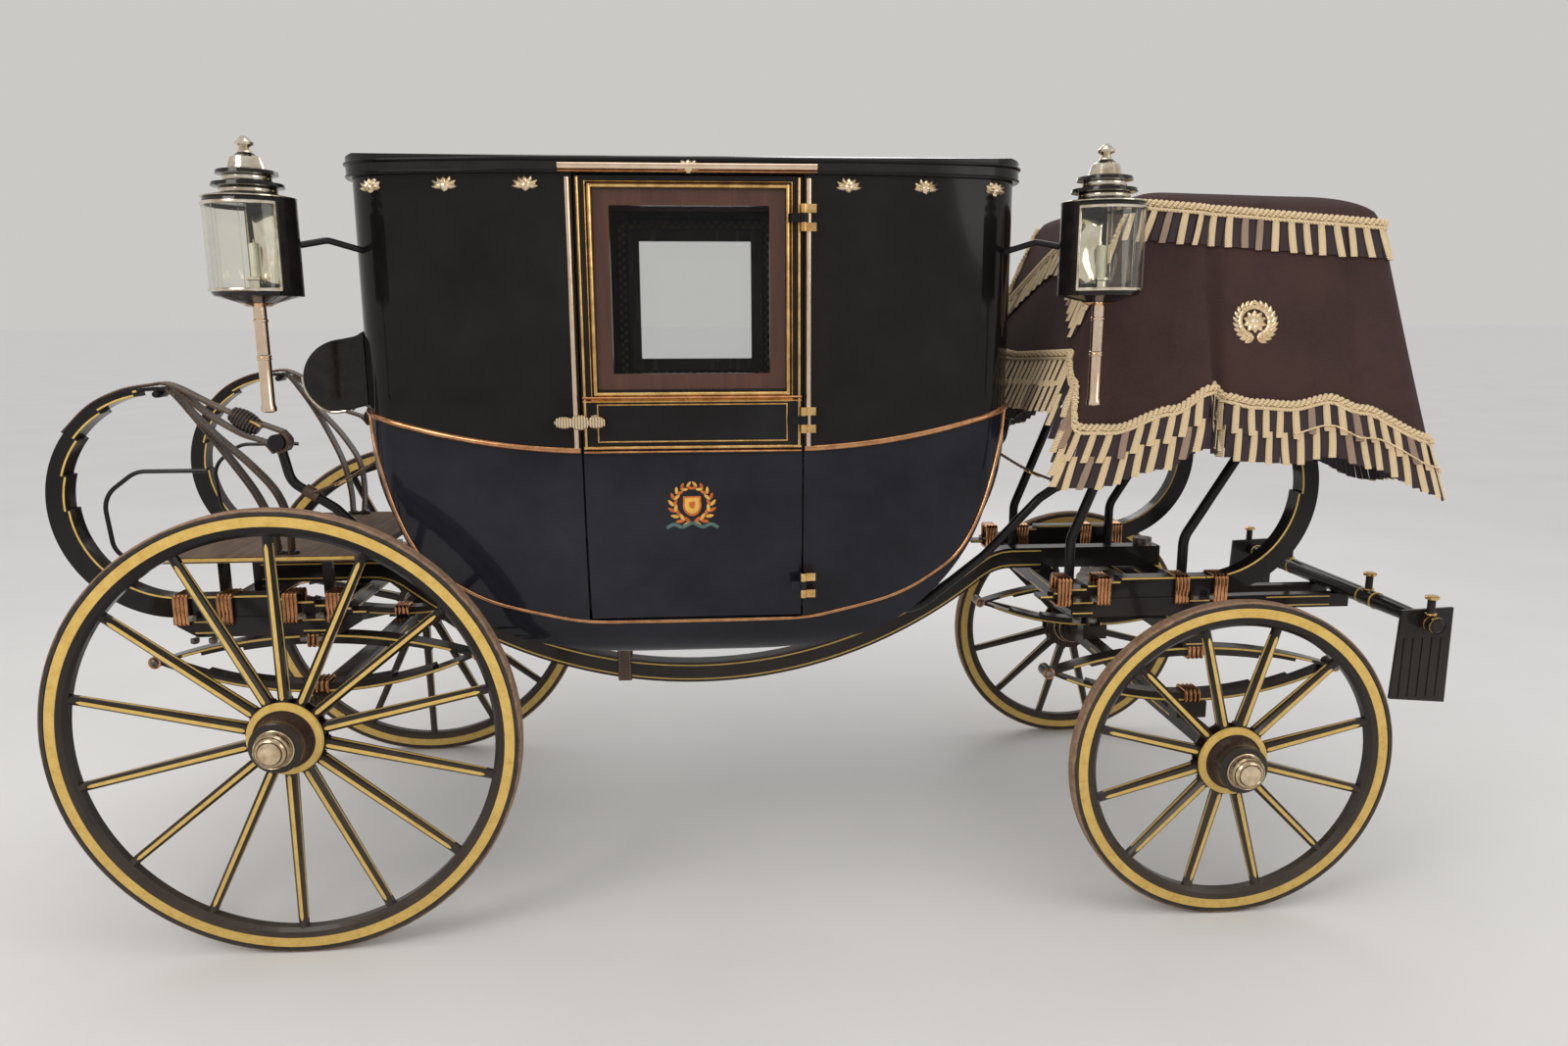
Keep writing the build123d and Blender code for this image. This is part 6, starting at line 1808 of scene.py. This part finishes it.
def soft_light(name, place, target, size, power, colour=(1, 1, 1)):
    lamp = bpy.data.lights.new(name, "AREA")
    lamp.shape, lamp.size, lamp.energy, lamp.color = "DISK", size, power, colour
    made = placed(name, lamp)
    made.location = place
    made.rotation_euler = (Vector(target) - Vector(place)).to_track_quat("-Z", "Y").to_euler()


def surroundings():
    """Plain soft light, and a grey backdrop that the camera, metal and glass see."""
    world = bpy.data.worlds.new("studio")
    bpy.context.scene.world = world
    world.use_nodes = True
    tree = world.node_tree
    tree.nodes.clear()

    def join(kind, *sources, **settings):
        node = tree.nodes.new("ShaderNode" + kind)
        for key, value in settings.items():
            setattr(node, key, value)
        for index, source in enumerate(sources):
            tree.links.new(source, node.inputs[index])
        return node

    path = join("LightPath").outputs
    seen = path["Is Camera Ray"]
    for name in ("Is Glossy Ray", "Is Transmission Ray"):
        seen = join("Math", seen, path[name], operation="MAXIMUM").outputs[0]
    shaders = []
    for colour, strength in (((0.98, 0.98, 1.0, 1), 0.80), ((0.60, 0.585, 0.565, 1), 1.0)):
        background = join("Background")
        background.inputs["Color"].default_value = colour
        background.inputs["Strength"].default_value = strength
        shaders.append(background.outputs[0])
    mixed = join("MixShader", seen, *shaders)
    join("OutputWorld", mixed.outputs[0])
    soft_light("key_light", (-3.6, -4.2, 4.6), (0, 0, 1.0), 2.6, 105, (1.0, 0.96, 0.90))
    soft_light("fill_light", (4.2, -3.6, 3.2), (0.3, 0, 0.9), 3.0, 38, (1.0, 0.97, 0.93))
    soft_light("far_light", (1.5, 5.0, 4.2), (0, 0, 1.0), 3.0, 42)
    soft_light("top_light", (0.0, -0.6, 5.2), (0, 0, 1.0), 3.0, 24)


def camera():
    """The photograph's viewing angle, solved from its wheels, windows and axle line."""
    lens = bpy.data.cameras.new("camera")
    lens.sensor_width, lens.lens = 36.0, 24.0
    yaw, pitch, roll = (math.radians(angle) for angle in (4.04, 10.83, -0.15))
    ahead = Vector((math.sin(yaw) * math.cos(pitch), math.cos(yaw) * math.cos(pitch), -math.sin(pitch)))
    right = Vector((math.cos(yaw), -math.sin(yaw), 0))
    up = right.cross(ahead)
    across = right * math.cos(roll) + up * math.sin(roll)
    upward = up * math.cos(roll) - right * math.sin(roll)
    made = placed("camera", lens)
    turn = Matrix((across, upward, -ahead)).transposed().to_4x4()
    made.matrix_world = Matrix.Translation((-0.1945, -3.31, 1.647)) @ turn
    bpy.context.scene.camera = made


floor()
surroundings()
camera()
bpy.context.scene.view_settings.view_transform = "Standard"
